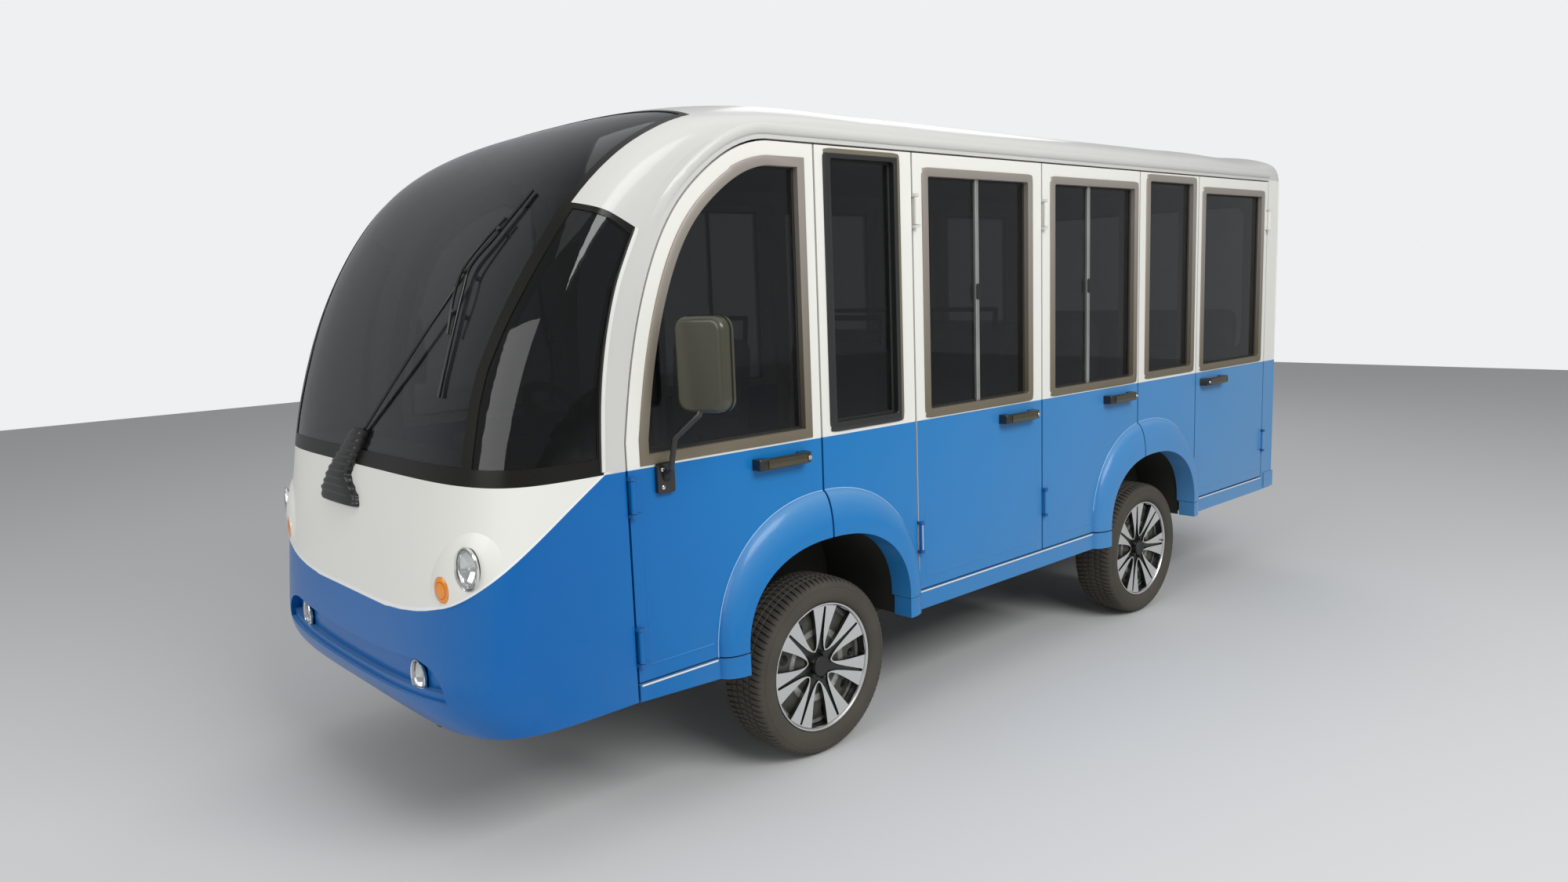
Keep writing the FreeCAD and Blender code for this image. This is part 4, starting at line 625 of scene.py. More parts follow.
def makeWindowTrims():
    # aluminium frame with rounded edges and a rubber lip against the glass, round each pane
    trim = {"frame": [(-0.0015, 0.7556), (-0.0015, 0.7785), (-0.0005, 0.78), (0.0015, 0.7808), (0.0245, 0.7808),
            (0.0268, 0.7801), (0.028, 0.7785), (0.028, 0.7748)],
        "rubber": [(-0.0085, 0.7552), (-0.008, 0.7575), (-0.0055, 0.7598), (-0.0013, 0.76), (-0.0013, 0.7552)],
        "bowY": -1.36, "bowZ": 1.13}
    panes = [("door%dTrim" % k, outlineOf("door%d_glass_left" % k), k) for k in (1, 2, 3, 4)]
    panes.append(("frontPaneTrim", outlineOf("fixed_glass", high=0.0), 0))
    panes.append(("rearPaneTrim", outlineOf("fixed_glass", low=0.0), 0))
    for name, loop, door in panes:
        square = (loop[:, 0] > trim["bowY"]) | (loop[:, 1] < trim["bowZ"])
        look = "paneBorder" if name == "frontPaneTrim" else "windowMetal"
        makePair(name, [framing(loop, trim["frame"], square)], look, door)
        makePair(name + "Rubber", [framing(loop, trim["rubber"])], "sealRubber", door)


def makeSliders():
    # meeting rails of the sliding panes with a latch at mid height
    rail = {"y": {2: -0.237, 3: 0.49}, "low": 1.08, "high": 1.858, "latchZ": 1.47,
        "section": even([(-0.0095, 0.7552), (-0.0095, 0.764), (-0.0075, 0.7662), (-0.0012, 0.7662),
            (-0.0006, 0.7645)]), "latchX": 0.766, "latchLoop": (-0.009, 0.009, -0.028, 0.028, 0.006),
        "latch": [(0.0, 0.0), (0.0, 0.0035), (0.0012, 0.0045)]}
    for door, y in rail["y"].items():
        line = np.array([(0.0, y, rail["low"]), (0.0, y, rail["high"])])
        latch = plate(roundedLoop(*rail["latchLoop"]), rail["latch"], (rail["latchX"], y, rail["latchZ"]),
            northward, upward, eastward)
        makePair("door%dRail" % door, [carried(line, rail["section"], eastward)], "satinMetal", door)
        makePair("door%dLatch" % door, [latch], "blackPlastic", door)


def makeHandles():
    # pull handle: its plan outline lifted through rounded edges, a cover bar, a front block and a lock
    pull = {"length": 0.215, "z": 0.998, "rear": {1: -1.123, 2: 0.086, 3: 0.807, 4: 1.644},
        "plan": [(0.7736, -0.0006), (0.8076, 0.0052), (0.814, 0.028), (0.814, 0.187), (0.8076, 0.2098),
            (0.7736, 0.2156), (0.7736, 0.1804), (0.7964, 0.1704), (0.7964, 0.0446), (0.7736, 0.0346)],
        "edge": [(0.0012, -0.0166), (0.0004, -0.0161), (0.0, -0.0152), (0.0, 0.0152), (0.0004, 0.0161),
            (0.0012, 0.0166)], "bar": even([(-0.013, 0.0), (-0.0125, 0.0022), (-0.0095, 0.0034)]),
        "barPath": [(0.8135, 0.03), (0.8143, 0.06), (0.8146, 0.1075), (0.8143, 0.155), (0.8135, 0.185)],
        "block": [(0.0, 0.0), (0.0, 0.0325), (0.003, 0.0355)], "blockX": 0.7752, "lockX": 0.814, "lockIn": 0.019,
        "blockLong": 0.038, "blockHalf": 0.0172, "blockRadius": 0.004,
        "lock": [(0.0, 0.007), (0.004, 0.007), (0.0048, 0.0062), (0.0048, 0.0026), (0.0036, 0.0022), (0.0036, 0.0)]}
    for door, rear in pull["rear"].items():
        front = rear - pull["length"]
        lockY, blockY = rear - pull["lockIn"], front
        if door == 4:
            # hinged at its rear, so the handle is turned about
            lockY, blockY = front + pull["lockIn"], rear - pull["blockLong"]
        base = plate(np.array(pull["plan"]), pull["edge"], (0.0, front, pull["z"]), eastward, northward, upward)
        barPath = np.array([(x, front + along, pull["z"]) for x, along in pull["barPath"]])
        cover = carried(barPath, pull["bar"], eastward)
        block = plate(roundedLoop(0.0, pull["blockLong"], -pull["blockHalf"], pull["blockHalf"],
                pull["blockRadius"]), pull["block"], (pull["blockX"], blockY, pull["z"]), northward, upward,
            eastward)
        lock = turned(pull["lock"], (pull["lockX"], lockY, pull["z"]), eastward, northward, 24)
        makePair("door%dHandle" % door, [base, block], "handleBronze", door)
        makePair("door%dHandleBar" % door, [cover], "handleBar", door)
        makePair("door%dLock" % door, [lock], "chrome", door)


def makeBeads():
    # pressed line round the lower field of each door, low and rounded, and a pale strip along the sill's top edge
    # that is a painted highlight, where the ledge catches the light
    bead = {"low": 0.494, "high": 1.03, "section": even([(-0.004, 0.7746), (-0.003, 0.7754), (-0.0012, 0.7759)])}
    low, high = bead["low"], bead["high"]
    runs = {1: [[(-1.737, high), (-1.737, low), (-1.512, low)], [(-1.092, 0.95), (-1.092, 0.884)]],
        2: [[(-0.558, high), (-0.558, low), (0.108, low), (0.108, high)]],
        3: [[(0.188, high), (0.188, low), (0.496, low)], [(0.829, 0.95), (0.829, 0.866)]],
        4: [[(1.429, high), (1.429, low), (2.07, low), (2.07, high)]]}
    for door, lines in runs.items():
        forms = [carried(sidePath(np.array(line)), bead["section"], eastward) for line in lines]
        makePair("door%dBead" % door, forms, "bodyPaint", door)
    # painted highlight: a pale strip along the top edge of the sill
    sill = {"spans": [(-1.772, -1.503), (-0.592, 0.506), (1.414, 2.104)], "z": 0.4436,
        "section": even([(-0.0028, 0.7772), (-0.0022, 0.7794), (0.0, 0.78)])}
    forms = [carried(np.array([(0.0, a, sill["z"]), (0.0, b, sill["z"])]), sill["section"], eastward)
        for a, b in sill["spans"]]
    makePair("sillHighlight", forms, "paleTrimAndHighlight")


def makeFlareLines():
    # painted highlight: a pale blue bead along the crease between each arch flare and the panels, where the crease
    # catches the light; the crease is an oval of power 2.2
    line = {"count": 40, "half": 0.4494, "top": 0.8774, "knee": 0.45, "power": 2.2, "x": 0.7746,
        "section": even([(-0.0013, -0.0006), (-0.0013, 0.0004), (-0.0006, 0.0011)]),
        "runs": [("door1", "front", -1.0, -0.012, 1), ("frontPanel", "front", 0.012, 0.985, 0),
            ("door3", "rear", -0.985, -0.218, 3), ("rearPanel", "rear", -0.192, 0.9, 0)]}
    for name, end, first, last, door in line["runs"]:
        share = np.sin(np.linspace(math.asin(first), math.asin(last), line["count"]))
        rise = np.clip(1.0 - np.abs(share) ** line["power"], 0.0, 1.0) ** (1.0 / line["power"])
        path = np.column_stack([np.full(line["count"], line["x"]), wheel[end] + line["half"] * share,
                line["knee"] + (line["top"] - line["knee"]) * rise])
        makePair(name + "FlareHighlight", [carried(path, line["section"], eastward)], "sheenBlue", door)


def oval(lamp, rows, count=40):
    # an upright oval round the lamp's axis: each row is a depth, a share of the half sizes and an added width
    rows = np.asarray(rows, float)
    t = math.radians(lamp["turn"])
    across, back = np.array([math.cos(t), math.sin(t), 0.0]), np.array([-math.sin(t), math.cos(t), 0.0])
    angle = np.arange(count) * 2 * np.pi / count
    wide = rows[:, 1:2] * lamp["halfW"] + rows[:, 2:3]
    tall = rows[:, 1:2] * lamp["halfH"] + rows[:, 2:3]
    spots = (np.array(lamp["middle"]) + rows[:, None, :1] * back + (wide * np.cos(angle))[:, :, None] * across
        + (tall * np.sin(angle))[:, :, None] * upward)
    return spots.reshape(-1, 3), [gridFaces(len(rows), count, False, True)]


def domeRows(deep, bow, share, steps, inwards=False):
    # depth grows with the square of the distance from the axis
    k = np.linspace(0.0, share, steps)
    rows = np.column_stack([deep + bow * k ** 2, k, np.zeros(steps)])
    return rows[::-1] if inwards else rows


def makeLamps():
    # clear lens over a hollow bowl with a bulb in it, in a ring; the amber lamp gets a ring only
    lamps = {"headlamp": {"middle": (0.664, -2.2065, 0.8425), "halfW": 0.038, "halfH": 0.054, "turn": 15.0,
            "bowl": 0.026, "node": "headlamps"}, "fogLamp": {"middle": (0.419, -2.253, 0.513), "halfW": 0.034,
            "halfH": 0.046, "turn": 4.0, "bowl": 0.018, "node": "fog_lamps"}}
    for name, lamp in lamps.items():
        lens = np.concatenate([domeRows(0.0, 0.007, 1.0, 9), [(0.012, 1.0, 0.0), (0.012, 1.0, -0.0025)],
                domeRows(0.0022, 0.007, 0.93, 8, True)])
        bowl = np.concatenate([[(0.0115, 1.0, -0.003)], domeRows(0.0125 + lamp["bowl"], -lamp["bowl"], 0.9, 9,
                True), domeRows(0.0145 + lamp["bowl"], -lamp["bowl"], 0.92, 9), [(0.0135, 1.0, -0.0004)],
                [(0.0115, 1.0, -0.003)]])
        bulb = np.array([(0.03, 0.0, 0.0), (0.03, 0.0, 0.006), (0.02, 0.0, 0.006), (0.0165, 0.0, 0.0046),
                (0.0145, 0.0, 0.0)])
        rim = np.array([(0.0125, 1.0, 0.0002), (0.0125, 1.0, 0.0036), (0.0065, 1.0, 0.004), (0.0042, 1.0, 0.0026),
                (0.0048, 1.0, 0.0006), (0.0075, 1.0, -0.0012), (0.0125, 1.0, 0.0002)])
        piece = makePair(name + "Lens", [oval(lamp, lens)], "lensClear")
        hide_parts(lamp["node"])
        makePair(name + "Bowl", [oval(lamp, bowl)], "chrome")
        makePair(name + "Bulb", [oval(lamp, bulb, 16)], "bulbGlass")
        makePair(name + "Ring", [oval(lamp, rim)], "chrome")
    turnLamp = {"middle": (0.57, -2.2335, 0.7775), "halfW": 0.03, "halfH": 0.036, "turn": 12.0}
    rim = [(0.012, 1.0, 0.0002), (0.012, 1.0, 0.0032), (0.007, 1.0, 0.0034), (0.0056, 1.0, 0.002),
        (0.0064, 1.0, 0.0002), (0.012, 1.0, 0.0002)]
    makePair("turnLampRing", [oval(turnLamp, rim)], "paleTrimAndHighlight")


def makeWiper():
    # ribbed rubber boot up the nose, a flat arm, the blade with its bridge, and three pins
    boot = {"rows": [(-0.222, 0.028, -2.2175, 0.924), (-0.24, 0.026, -2.213, 0.945),
            (-0.228, -0.008, -2.207, 0.972), (-0.2, -0.045, -2.201, 1.008), (-0.158, -0.024, -2.1945, 1.045),
            (-0.098, 0.012, -2.184, 1.092), (-0.034, 0.04, -2.1715, 1.146)], "out": 0.025, "ribs": 10,
        "ribOut": 0.0018, "steps": 56, "across": 22, "power": 0.55, "sidePower": 0.75, "ribPower": 0.4,
        "deep": 0.018, "crease": 55.0}
    rows = smoothPath(np.array(boot["rows"]), boot["steps"])
    x0, x1, y, z = rows.T
    share = np.linspace(0.0, 1.0, boot["steps"])
    rib = 1.0 + boot["ribOut"] / boot["out"] * np.sin(share * boot["ribs"] * 2 * np.pi)
    angle = np.linspace(0.0, np.pi, boot["across"])
    # across the boot the height is a half oval of a low power, so that its sides stand steep
    half, middle = (x1 - x0) / 2, (x0 + x1) / 2
    aside = np.sign(np.cos(angle)) * np.abs(np.cos(angle)) ** boot["sidePower"]
    acrossX = middle[:, None] + half[:, None] * rib[:, None] ** boot["ribPower"] * aside
    height = boot["out"] * rib[:, None] * np.sin(angle)[None] ** boot["power"]
    slope = np.gradient(y, z)
    normal = unit(np.column_stack([np.zeros_like(y), -np.ones_like(y), slope]))
    top = np.stack([acrossX, y[:, None] + height * normal[:, 1:2], z[:, None] + height * normal[:, 2:]], -1)
    floorRow = np.stack([acrossX, np.broadcast_to(y[:, None] + boot["deep"], acrossX.shape),
            np.broadcast_to(z[:, None], acrossX.shape)], -1)[:, ::-1]
    loop = np.concatenate([top, floorRow], 1)
    count = loop.shape[1]
    bootForm = (loop.reshape(-1, 3), [gridFaces(len(loop), count, False, True), np.arange(count)[None],
            (len(loop) - 1) * count + np.arange(count)[None, ::-1]])
    arm = {"line": [(0.004, -2.1835, 1.128), (0.14, -2.157, 1.247), (0.249, -2.126, 1.353), (0.334, -2.089, 1.45),
            (0.377, -2.061, 1.508), (0.418, -2.015, 1.589)], "steps": 40,
        "section": even([(-0.0052, -0.003), (-0.0052, 0.0026), (-0.003, 0.0042)])}
    blade = {"line": [(0.527, -1.86, 1.797), (0.511, -1.904, 1.744), (0.474, -1.956, 1.673), (0.418, -2.01, 1.589),
            (0.428, -2.035, 1.537), (0.452, -2.09, 1.411), (0.46, -2.142, 1.261)], "steps": 48,
        "section": even([(-0.0024, -0.0055), (-0.0042, -0.001), (-0.0042, 0.003), (-0.002, 0.005)])}
    bridge = {"line": [(0.5, -1.927, 1.722), (0.462, -1.975, 1.662), (0.424, -2.0245, 1.588),
            (0.434, -2.054, 1.536), (0.45, -2.094, 1.421)], "steps": 30, "lift": 0.006,
        "section": even([(-0.0026, -0.003), (-0.0026, 0.004)])}
    pin = {"places": [(0.418, -2.02, 1.586), (0.486, -1.945, 1.694), (0.441, -2.072, 1.48)],
        "rows": [(-0.004, 0.0), (-0.004, 0.0075), (0.01, 0.0075), (0.012, 0.0055), (0.012, 0.0)]}
    outwards = np.array([0.45, -0.8, 0.4])
    forms = [bootForm]
    for run in (arm, blade, bridge):
        path = smoothPath(run["line"], run["steps"]) + run.get("lift", 0.0) * outwards
        forms.append(carried(path, run["section"], outwards))
    forms += [turned(pin["rows"], place, outwards, (0.9, 0.3, 0.0), 16) for place in pin["places"]]
    piece = makePiece("wiperSet", forms, "wiperBlack", "body", boot["crease"])
    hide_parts("wiper")


def makeMirrors():
    # rear-facing glass in a bezel, two bracket screws and a moulded line round the housing
    mirror = {"middle": (0.9, -1.6, 1.319), "turn": 14.0, "halfW": 0.069, "halfH": 0.112, "radius": 0.028,
        "backIn": 0.0255, "pane": [(0.0, 0.0), (0.0, 0.0022), (0.0014, 0.003)],
        "bezel": [(-0.0022, -0.002), (-0.0022, 0.003), (-0.0006, 0.0048), (0.003, 0.0048), (0.0052, 0.0026),
            (0.0052, -0.002)], "lineHalfW": 0.0832, "lineHalfH": 0.1292, "lineRadius": 0.0392, "lineIn": 0.012,
        "line": [(-0.0014, -0.0016), (-0.0014, 0.0016), (0.0007, 0.0011), (0.0007, -0.0011)],
        "screws": [(0.789, -1.673, 0.985), (0.789, -1.673, 1.034)],
        "screw": [(0.0, 0.0062), (0.0022, 0.0056), (0.0034, 0.0034), (0.0037, 0.0)], "foot": (0.786, -1.66, 1.012),
        "footAxis": (0.7, 0.0, 0.72), "boot": [(-0.004, 0.0135), (0.006, 0.0135), (0.013, 0.0115), (0.019, 0.0095),
            (0.024, 0.0086), (0.024, 0.004), (-0.004, 0.004)]}
    t = math.radians(mirror["turn"])
    across, rear = np.array([math.cos(t), math.sin(t), 0.0]), np.array([-math.sin(t), math.cos(t), 0.0])
    middle = np.array(mirror["middle"])
    loop = roundedLoop(-mirror["halfW"], mirror["halfW"], -mirror["halfH"], mirror["halfH"], mirror["radius"], 8)
    back = middle + rear * mirror["backIn"]
    glass = plate(loop, mirror["pane"], back, across, upward, rear)
    bezel = carried(back + loop[:, :1] * across + loop[:, 1:] * upward, mirror["bezel"], rear, True)
    loop = roundedLoop(-mirror["lineHalfW"], mirror["lineHalfW"], -mirror["lineHalfH"], mirror["lineHalfH"],
        mirror["lineRadius"], 8)
    seam = carried(middle + rear * mirror["lineIn"] + loop[:, :1] * across + loop[:, 1:] * upward, mirror["line"],
        rear, True)
    screws = [turned(mirror["screw"], place, eastward, northward, 18) for place in mirror["screws"]]
    boot = turned(mirror["boot"], mirror["foot"], mirror["footAxis"], northward, 20, True)
    makePair("mirrorGlass", [glass], "mirrorSilver", 1)
    makePair("mirrorBezel", [bezel, seam, boot], "blackPlastic", 1)
    makePair("mirrorScrews", screws, "chrome", 1)


def placedWheel(form, side, axleY):
    # from the wheel's own frame, x out along the axle, to its place on the vehicle
    return form[0] * np.array([side, 1.0, 1.0]) + np.array([side * wheel["out"], axleY, wheel["high"]]), form[1]


def makeTyres():
    # half section as out, radius and how deep the cross grooves cut there; mirrored for the inner half
    tyre = {"half": [(0.0, 0.2918, 0.003), (0.009, 0.2918, 0.003), (0.011, 0.2916, 0.003), (0.0128, 0.2852, 0.0),
            (0.0186, 0.2851, 0.0), (0.0204, 0.2915, 0.0036), (0.029, 0.2913, 0.0036), (0.0376, 0.291, 0.0036),
            (0.0394, 0.2846, 0.0), (0.0446, 0.2844, 0.0), (0.0464, 0.2905, 0.0052), (0.055, 0.2898, 0.0052),
            (0.063, 0.2886, 0.005), (0.071, 0.2866, 0.0044), (0.0776, 0.2836, 0.0034), (0.0824, 0.2792, 0.002),
            (0.0856, 0.2736, 0.0), (0.0884, 0.2664, 0.0), (0.0893, 0.2638, 0.0), (0.0905, 0.2632, 0.0),
            (0.0906, 0.2612, 0.0), (0.09, 0.2604, 0.0), (0.0915, 0.252, 0.0), (0.0922, 0.242, 0.0),
            (0.0912, 0.232, 0.0), (0.088, 0.2222, 0.0), (0.0826, 0.215, 0.0), (0.0755, 0.2112, 0.0),
            (0.0706, 0.2098, 0.0), (0.0664, 0.2037, 0.0)], "pitches": 88,
        "marks": (0.0, 0.32, 0.62, 0.69, 0.9, 0.97), "cut": (3, 4), "skew": 0.8, "crease": 28.0}
    half = np.array(tyre["half"])
    rows = np.concatenate([half[::-1] * (-1, 1, 1), half[1:]])
    marks = len(tyre["marks"])
    angle = (np.arange(tyre["pitches"])[:, None] + np.array(tyre["marks"])).ravel() * 2 * np.pi / tyre["pitches"]
    cut = np.isin(np.arange(len(angle)) % marks, tyre["cut"])
    # the grid is turned with the distance from the middle, so that the cross grooves slant
    way = angle[None] + tyre["skew"] * np.abs(rows[:, :1])
    radius = rows[:, 1:2] - rows[:, 2:] * cut[None]
    spots = np.stack([np.broadcast_to(rows[:, :1], way.shape), radius * np.cos(way), radius * np.sin(way)], -1)
    form = spots.reshape(-1, 3), [gridFaces(len(rows), len(angle), True, True)]
    for spot, sign, axleY in wheelSpots:
        piece = makePiece("tread_" + spot, [placedWheel(form, sign, axleY)], "tyreRubber", "wheel_" + spot,
            tyre["crease"])
        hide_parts("tyre_" + spot)


def makeWheelInsides():
    # steel disc with a ring of dished holes behind the face, a hub cap, its nuts and the valve
    disc = {"rows": 30, "columns": 288, "inner": 0.056, "outer": 0.197, "x": 0.046, "holes": 9, "holeR": 0.156,
        "holeHalf": 0.0165, "lip": 0.004, "dish": 0.014, "thick": 0.003, "ribs": 0.0035, "ribCount": 1.5}
    radius = np.linspace(disc["inner"], disc["outer"], disc["rows"])[:, None]
    angle = (np.arange(disc["columns"]) * 2 * np.pi / disc["columns"])[None]
    # distance from the nearest hole's middle, in the disc's plane
    turn = (angle * disc["holes"] / (2 * np.pi) + 0.5) % 1.0 - 0.5
    gap = np.hypot(radius - disc["holeR"], turn * 2 * np.pi / disc["holes"] * disc["holeR"])
    sunk = np.clip((disc["holeHalf"] - gap) / disc["lip"], 0.0, 1.0) * disc["dish"]
    span = disc["outer"] - disc["inner"]
    swell = disc["ribs"] * np.cos((radius - disc["inner"]) / span * disc["ribCount"] * 2 * np.pi)
    face = np.stack([disc["x"] - sunk + swell, np.broadcast_to(radius * np.cos(angle), sunk.shape),
            np.broadcast_to(radius * np.sin(angle), sunk.shape)], -1)
    back = face[::-1] - np.array([disc["thick"], 0, 0])
    loop = np.concatenate([face, back])
    discForm = loop.reshape(-1, 3), [gridFaces(len(loop), disc["columns"], True, True)]
    hub = {"cap": [(0.052, 0.0), (0.052, 0.0335), (0.07, 0.0335), (0.0728, 0.0312), (0.0734, 0.027),
            (0.0722, 0.023), (0.0718, 0.0)], "nut": [(0.05, 0.0), (0.05, 0.008), (0.0655, 0.008), (0.0685, 0.0062),
            (0.0695, 0.0)], "nuts": 5, "nutR": 0.042,
        "valve": [(0.0, 0.0), (0.0, 0.0042), (0.016, 0.0036), (0.022, 0.0028), (0.022, 0.0)],
        "valvePlace": (0.062, 0.1965, 0.0), "valveAxis": (0.9, -0.4, 0.0)}
    cap = turned(hub["cap"], (0, 0, 0), eastward, northward, 48)
    step = 2 * math.pi / hub["nuts"]
    nuts = [turned(hub["nut"], (0.0, hub["nutR"] * math.cos(k * step), hub["nutR"] * math.sin(k * step)), eastward,
            northward, 6) for k in range(hub["nuts"])]
    valve = turned(hub["valve"], hub["valvePlace"], hub["valveAxis"], upward, 12)
    for spot, sign, axleY in wheelSpots:
        makePiece("disc_" + spot, [placedWheel(discForm, sign, axleY)], "discSteel", "wheel_" + spot)
        makePiece("hub_" + spot, [placedWheel(form, sign, axleY) for form in [cap, valve] + nuts], "blackPlastic",
            "wheel_" + spot)


def swollen(form, voxel, reach):
    # an even mesh of the form blown up like stuffed cloth; no point goes further than reach
    cloth = {"pressure": 4.0, "frames": 20}
    mesh = bpy.data.meshes.new("padStart")
    mesh.from_pydata(form[0], [], [face for block in form[1] for face in block.tolist()])
    pad = bpy.data.objects.new("padStart", mesh)
    bpy.context.collection.objects.link(pad)
    even = pad.modifiers.new("even", "REMESH")
    even.mode = "VOXEL"
    even.voxel_size = voxel
    evenMesh = bpy.data.meshes.new_from_object(pad.evaluated_get(bpy.context.evaluated_depsgraph_get()))
    pad.modifiers.clear()
    pad.data = evenMesh
    start = pointsOf(evenMesh)
    ended = start
    settings = pad.modifiers.new("cloth", "CLOTH").settings
    settings.use_pressure = True
    settings.uniform_pressure_force = cloth["pressure"]
    settings.effector_weights.gravity = 0.0
    for step in range(1, cloth["frames"] + 1):
        bpy.context.scene.frame_set(step)
    ended = pointsOf(pad.evaluated_get(bpy.context.evaluated_depsgraph_get()).data)
    bpy.context.scene.frame_set(1)
    corners = np.empty(len(evenMesh.loops), int)
    evenMesh.loops.foreach_get("vertex_index", corners)
    counts = np.empty(len(evenMesh.polygons), int)
    evenMesh.polygons.foreach_get("loop_total", counts)
    starts = np.concatenate([[0], np.cumsum(counts)[:-1]])
    blocks = [corners[starts[counts == size][:, None] + np.arange(size)] for size in np.unique(counts)]
    bpy.data.objects.remove(pad)
    moved = ended - start
    length = np.linalg.norm(moved, axis=1, keepdims=True)
    return start + moved * np.minimum(1.0, reach / np.maximum(length, 1e-9)), blocks


def pointsOf(mesh):
    co = np.empty(3 * len(mesh.vertices))
    mesh.vertices.foreach_get("co", co)
    return co.reshape(-1, 3)


def makeSeats():
    # cushions and backs of six rows: front edge, facing, middle and width of each
    seat = {"rows": [("front_left", -1.02, 1, 0.37, 0.48), ("front_right", -1.02, 1, -0.37, 0.48),
            ("second", -0.29, 1, 0.0, 1.26), ("third", 0.345, 1, 0.0, 1.26), ("facing", 1.425, -1, 0.0, 1.26),
            ("last", 1.665, 1, 0.0, 1.26)], "base": 0.7565, "cushionTall": 0.1085, "deep": 0.4, "backFoot": 0.886,
        "backTop": 1.326, "backIn": 0.4275, "lean": 5.0, "smaller": 0.008, "voxel": {0.48: 0.008, 1.26: 0.01},
        "reach": 0.01, "cushionRadius": 0.05, "backRadius": 0.06,
        "cushionEdge": [(0.016, 0.0), (0.0, 0.018), (0.0, 0.0725), (0.02, 0.0965)],
        "backEdge": [(0.018, -0.04), (0.0, -0.026), (0.0, 0.026), (0.018, 0.04)], "channel": 0.011, "spread": 0.009,
        "places": {0.48: (), 1.26: (-0.21, 0.21)}, "backRolls": (0.105, 0.215, 0.325), "backRollShare": 0.7,
        "cushionRolls": (0.11, 0.22), "cushionRollShare": 0.6, "swell": 0.004, "backLimits": (-0.0475, 0.047),
        "crease": 60.0}
    shrink, tall, rise = seat["smaller"], seat["cushionTall"], seat["backTop"] - seat["backFoot"]
    lean = math.radians(seat["lean"])

    def sunk(spots, axis, line, share):
        # sewn channel: its depth falls with the square of the distance from its line, in an exponential
        return share * seat["channel"] * np.exp(-((spots[:, axis] - line) / seat["spread"]) ** 2)

    for width in seat["voxel"]:
        half = width / 2 - shrink
        flat = roundedLoop(-half, half, shrink, seat["deep"] - shrink, seat["cushionRadius"], 5)
        cushion = swollen(plate(flat, seat["cushionEdge"], (0, 0, 0), eastward, northward, upward),
            seat["voxel"][width], seat["reach"])
        upright = roundedLoop(-half, half, shrink, rise - shrink, seat["backRadius"], 5)
        back = swollen(plate(upright, seat["backEdge"], (0, 0, 0), eastward, upward, -northward),
            seat["voxel"][width], seat["reach"])
        # the channels run over the sat-on faces only
        seatSpots, backSpots = cushion[0].copy(), back[0].copy()
        for place in seat["places"][width]:
            seatSpots[:, 2] -= sunk(seatSpots, 0, place, 1.0) * (seatSpots[:, 2] > tall * 0.5)
            backSpots[:, 1] += sunk(backSpots, 0, place, 1.0) * (backSpots[:, 1] < 0.0)
        for roll in seat["backRolls"]:
            backSpots[:, 1] += sunk(backSpots, 2, roll, seat["backRollShare"]) * (backSpots[:, 1] < 0.0)
        for roll in seat["cushionRolls"]:
            seatSpots[:, 2] -= sunk(seatSpots, 1, roll, seat["cushionRollShare"]) * (seatSpots[:, 2] > tall * 0.5)
        seatSpots[:, 2] = np.clip(seatSpots[:, 2], 0.0, tall + seat["swell"])
        backSpots[:, 1] = np.clip(backSpots[:, 1], *seat["backLimits"])
        leant = np.column_stack([backSpots[:, 0], backSpots[:, 1] * math.cos(lean)
                + backSpots[:, 2] * math.sin(lean), backSpots[:, 2] * math.cos(lean)
                - backSpots[:, 1] * math.sin(lean)])
        for row, front, facing, middle, rowWidth in seat["rows"]:
            if rowWidth != width:
                continue
            turn = np.array([facing, facing, 1.0])
            place = np.array([middle, front, 0.0])
            for part, spots, blocks, lift in (("Cushion", seatSpots, cushion[1], np.array([0, 0, seat["base"]])),
                    ("Back", leant, back[1], np.array([0, seat["backIn"], seat["backFoot"]]))):
                form = (spots + lift) * turn + place, blocks
                piece = makePiece(row + part, [form], "seatVinyl", "body", seat["crease"])
                if row == "last" and part == "Back":
                    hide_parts("seat_pads")


def cast(nodeNames, source, way):
    # where a ray first meets the nodes' meshes, and the face's normal there
    best = None
    for name in nodeNames:
        hit, where, normal, index = nodes[name].ray_cast(source, way)
        if hit and (best is None or np.dot(where, way) < np.dot(best[0], way)):
            best = (np.array(where), np.array(normal))
    return best


def makeCornerTrims():
    # a pale bead, a painted highlight where the bevel catches the light, with a dark one before it, along the rear
    # edge of the corner glass
    edge = {"line": [(-1.852, 1.052), (-1.848, 1.137), (-1.838, 1.26), (-1.822, 1.359), (-1.773, 1.534),
            (-1.703, 1.681)], "steps": 36, "fromX": 1.4, "darkShift": -0.0105,
        "pale": even([(-0.0062, -0.002), (-0.0062, 0.0016), (-0.004, 0.003)]),
        "dark": even([(-0.0026, -0.002), (-0.0026, 0.0022), (0.0, 0.0032)])}
    shell = ["quarter_glass", "screen_surround", "roof_shell", "nose_panel", "windscreen", "door1_left"]
    for name, key, shift, look in (("cornerHighlight", "pale", 0.0, "paleTrimAndHighlight"),
            ("cornerDark", "dark", edge["darkShift"], "sealRubber")):
        met = [cast(shell, (edge["fromX"], y + shift, z), -eastward)
            for y, z in smoothPath(edge["line"], edge["steps"])]
        path, outwards = np.array([hit[0] for hit in met]), np.array([hit[1] for hit in met])
        makePair(name, [carried(path, edge[key], outwards)], look)


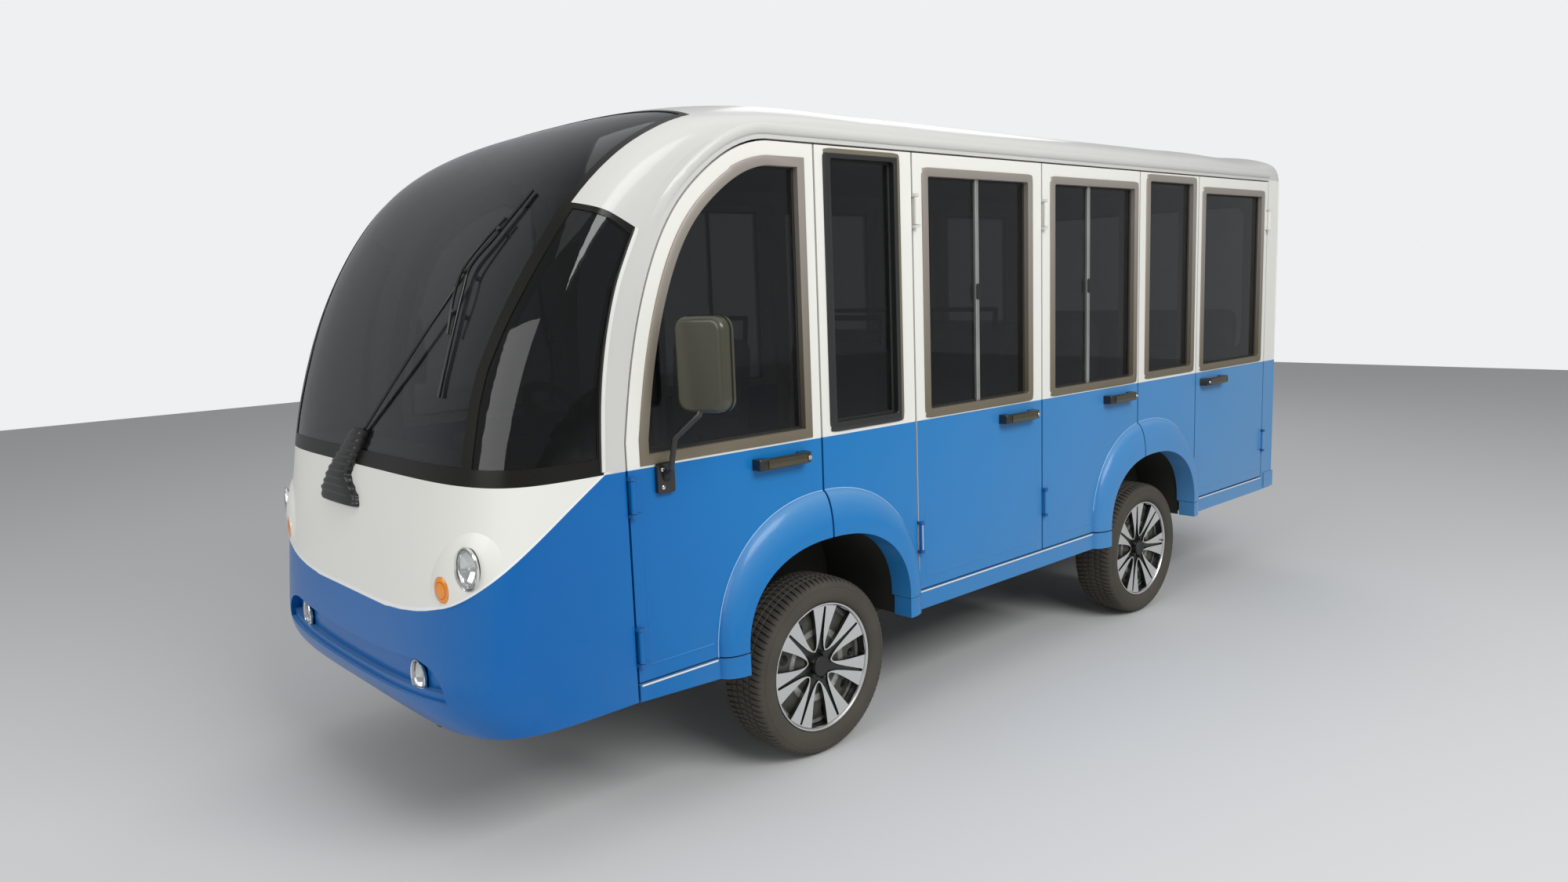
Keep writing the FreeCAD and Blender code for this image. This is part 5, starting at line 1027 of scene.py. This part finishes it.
def makeRearTrims():
    # rubber round the rear window and a bezel round each tail lamp
    rear = {"half": 0.6, "low": 1.09, "high": 1.84, "radius": 0.07,
        "section": even([(-0.01, -0.003), (-0.01, 0.0035), (-0.006, 0.0055)]),
        "lamp": (0.56, 0.68, 0.7, 0.94, 0.02), "steps": 6, "fromY": 3.0,
        "bezel": [(-0.002, -0.004), (-0.002, 0.005), (0.001, 0.0075), (0.006, 0.005), (0.008, -0.004)]}
    window = roundedLoop(-rear["half"], rear["half"], rear["low"], rear["high"], rear["radius"], 10)
    for name, make, loop, section, near, look in (("rearWindowSeal", makePiece, window, rear["section"],
                ["rear_panel", "rear_glass", "roof_shell"], "sealRubber"),
            ("tailLampBezel", makePair, roundedLoop(*rear["lamp"], 6), rear["bezel"], ["rear_panel", "tail_lamps"],
                "blackPlastic")):
        # each side of the loop is split into equal steps, which are then laid on the rear
        share = np.linspace(0.0, 1.0, rear["steps"] + 1)[:-1, None]
        after = np.roll(loop, -1, 0)
        dense = (loop[:, None] + (after - loop)[:, None] * share[None]).reshape(-1, 2)
        dense = dense[np.linalg.norm(dense - np.roll(dense, 1, 0), axis=1) > 1e-6]
        path = np.array([cast(near, (x, rear["fromY"], z), -northward)[0] for x, z in dense])
        make(name, [carried(path, section, northward, True)], look)


makeWindowTrims()
makeSliders()
print("window trims made")
makeHandles()
makeBeads()
makeFlareLines()
makeMirrors()
print("door fittings made")
makeLamps()
makeWiper()
makeCornerTrims()
makeRearTrims()
print("lamps and seals made")
makeTyres()
makeWheelInsides()
print("wheels made")
makeSeats()
print("seats made")


def makeStage():
    stage = {"half": 14.0, "floor": (0.66, 0.66, 0.655, 1.0), "world": (0.8, 0.82, 0.85, 1.0), "strength": 0.44,
        "backdrop": (0.86, 0.87, 0.88, 1.0), "dull": 0.9}
    bpy.ops.mesh.primitive_plane_add(size=2 * stage["half"], location=(0, 0, 0))
    floor = bpy.context.object
    floor.name = "studioFloor"
    cover = Finish("studioFloor", {"Base Color": stage["floor"], "Roughness": stage["dull"]})
    floor.data.materials.append(cover.material)
    world = bpy.data.worlds.new("studioWorld")
    bpy.context.scene.world = world
    world.use_nodes = True
    tree = world.node_tree
    light = tree.nodes["Background"]
    light.inputs["Color"].default_value = stage["world"]
    light.inputs["Strength"].default_value = stage["strength"]
    # a paler backdrop seen straight from the camera only
    backdrop = tree.nodes.new("ShaderNodeBackground")
    backdrop.inputs["Color"].default_value = stage["backdrop"]
    path = tree.nodes.new("ShaderNodeLightPath")
    mix = tree.nodes.new("ShaderNodeMixShader")
    tree.links.new(path.outputs["Is Camera Ray"], mix.inputs[0])
    tree.links.new(light.outputs[0], mix.inputs[1])
    tree.links.new(backdrop.outputs[0], mix.inputs[2])
    tree.links.new(mix.outputs[0], tree.nodes["World Output"].inputs[0])


def makeLamp(name, place, target, size, watts):
    data = bpy.data.lights.new(name, "AREA")
    data.shape = "RECTANGLE"
    data.size, data.size_y = size
    data.energy = watts
    lamp = bpy.data.objects.new(name, data)
    bpy.context.collection.objects.link(lamp)
    way = unit(np.array(target) - np.array(place))
    lamp.location = place
    lamp.rotation_euler = (math.acos(-way[2]), 0.0, math.atan2(way[1], way[0]) - math.pi / 2)


def makeCamera():
    view = {"place": (3.1412, -3.37071, 1.52304), "turn": (81.6595, 2.0886, 47.276), "lens": 24.647, "sensor": 36.0}
    data = bpy.data.cameras.new("mainCamera")
    data.lens = view["lens"]
    data.sensor_width = view["sensor"]
    camera = bpy.data.objects.new("mainCamera", data)
    bpy.context.collection.objects.link(camera)
    camera.location = view["place"]
    camera.rotation_euler = [math.radians(angle) for angle in view["turn"]]
    bpy.context.scene.camera = camera


makeStage()
makeLamp("overheadSoft", (0.5, -0.5, 5.5), (0.0, 0.0, 1.0), (6.0, 7.0), 66.0)
makeLamp("leftSoft", (6.0, -1.0, 5.0), (0.5, -0.2, 1.0), (5.0, 2.6), 300.0)
makeLamp("noseSoft", (0.5, -7.0, 3.0), (0.0, -2.0, 1.0), (4.5, 3.0), 105.0)
makeLamp("rearSoft", (-4.5, 6.0, 5.6), (0.0, 1.0, 1.0), (4.0, 3.0), 60.0)
makeCamera()
bpy.context.scene.view_settings.view_transform = "Standard"
print("stage ready")
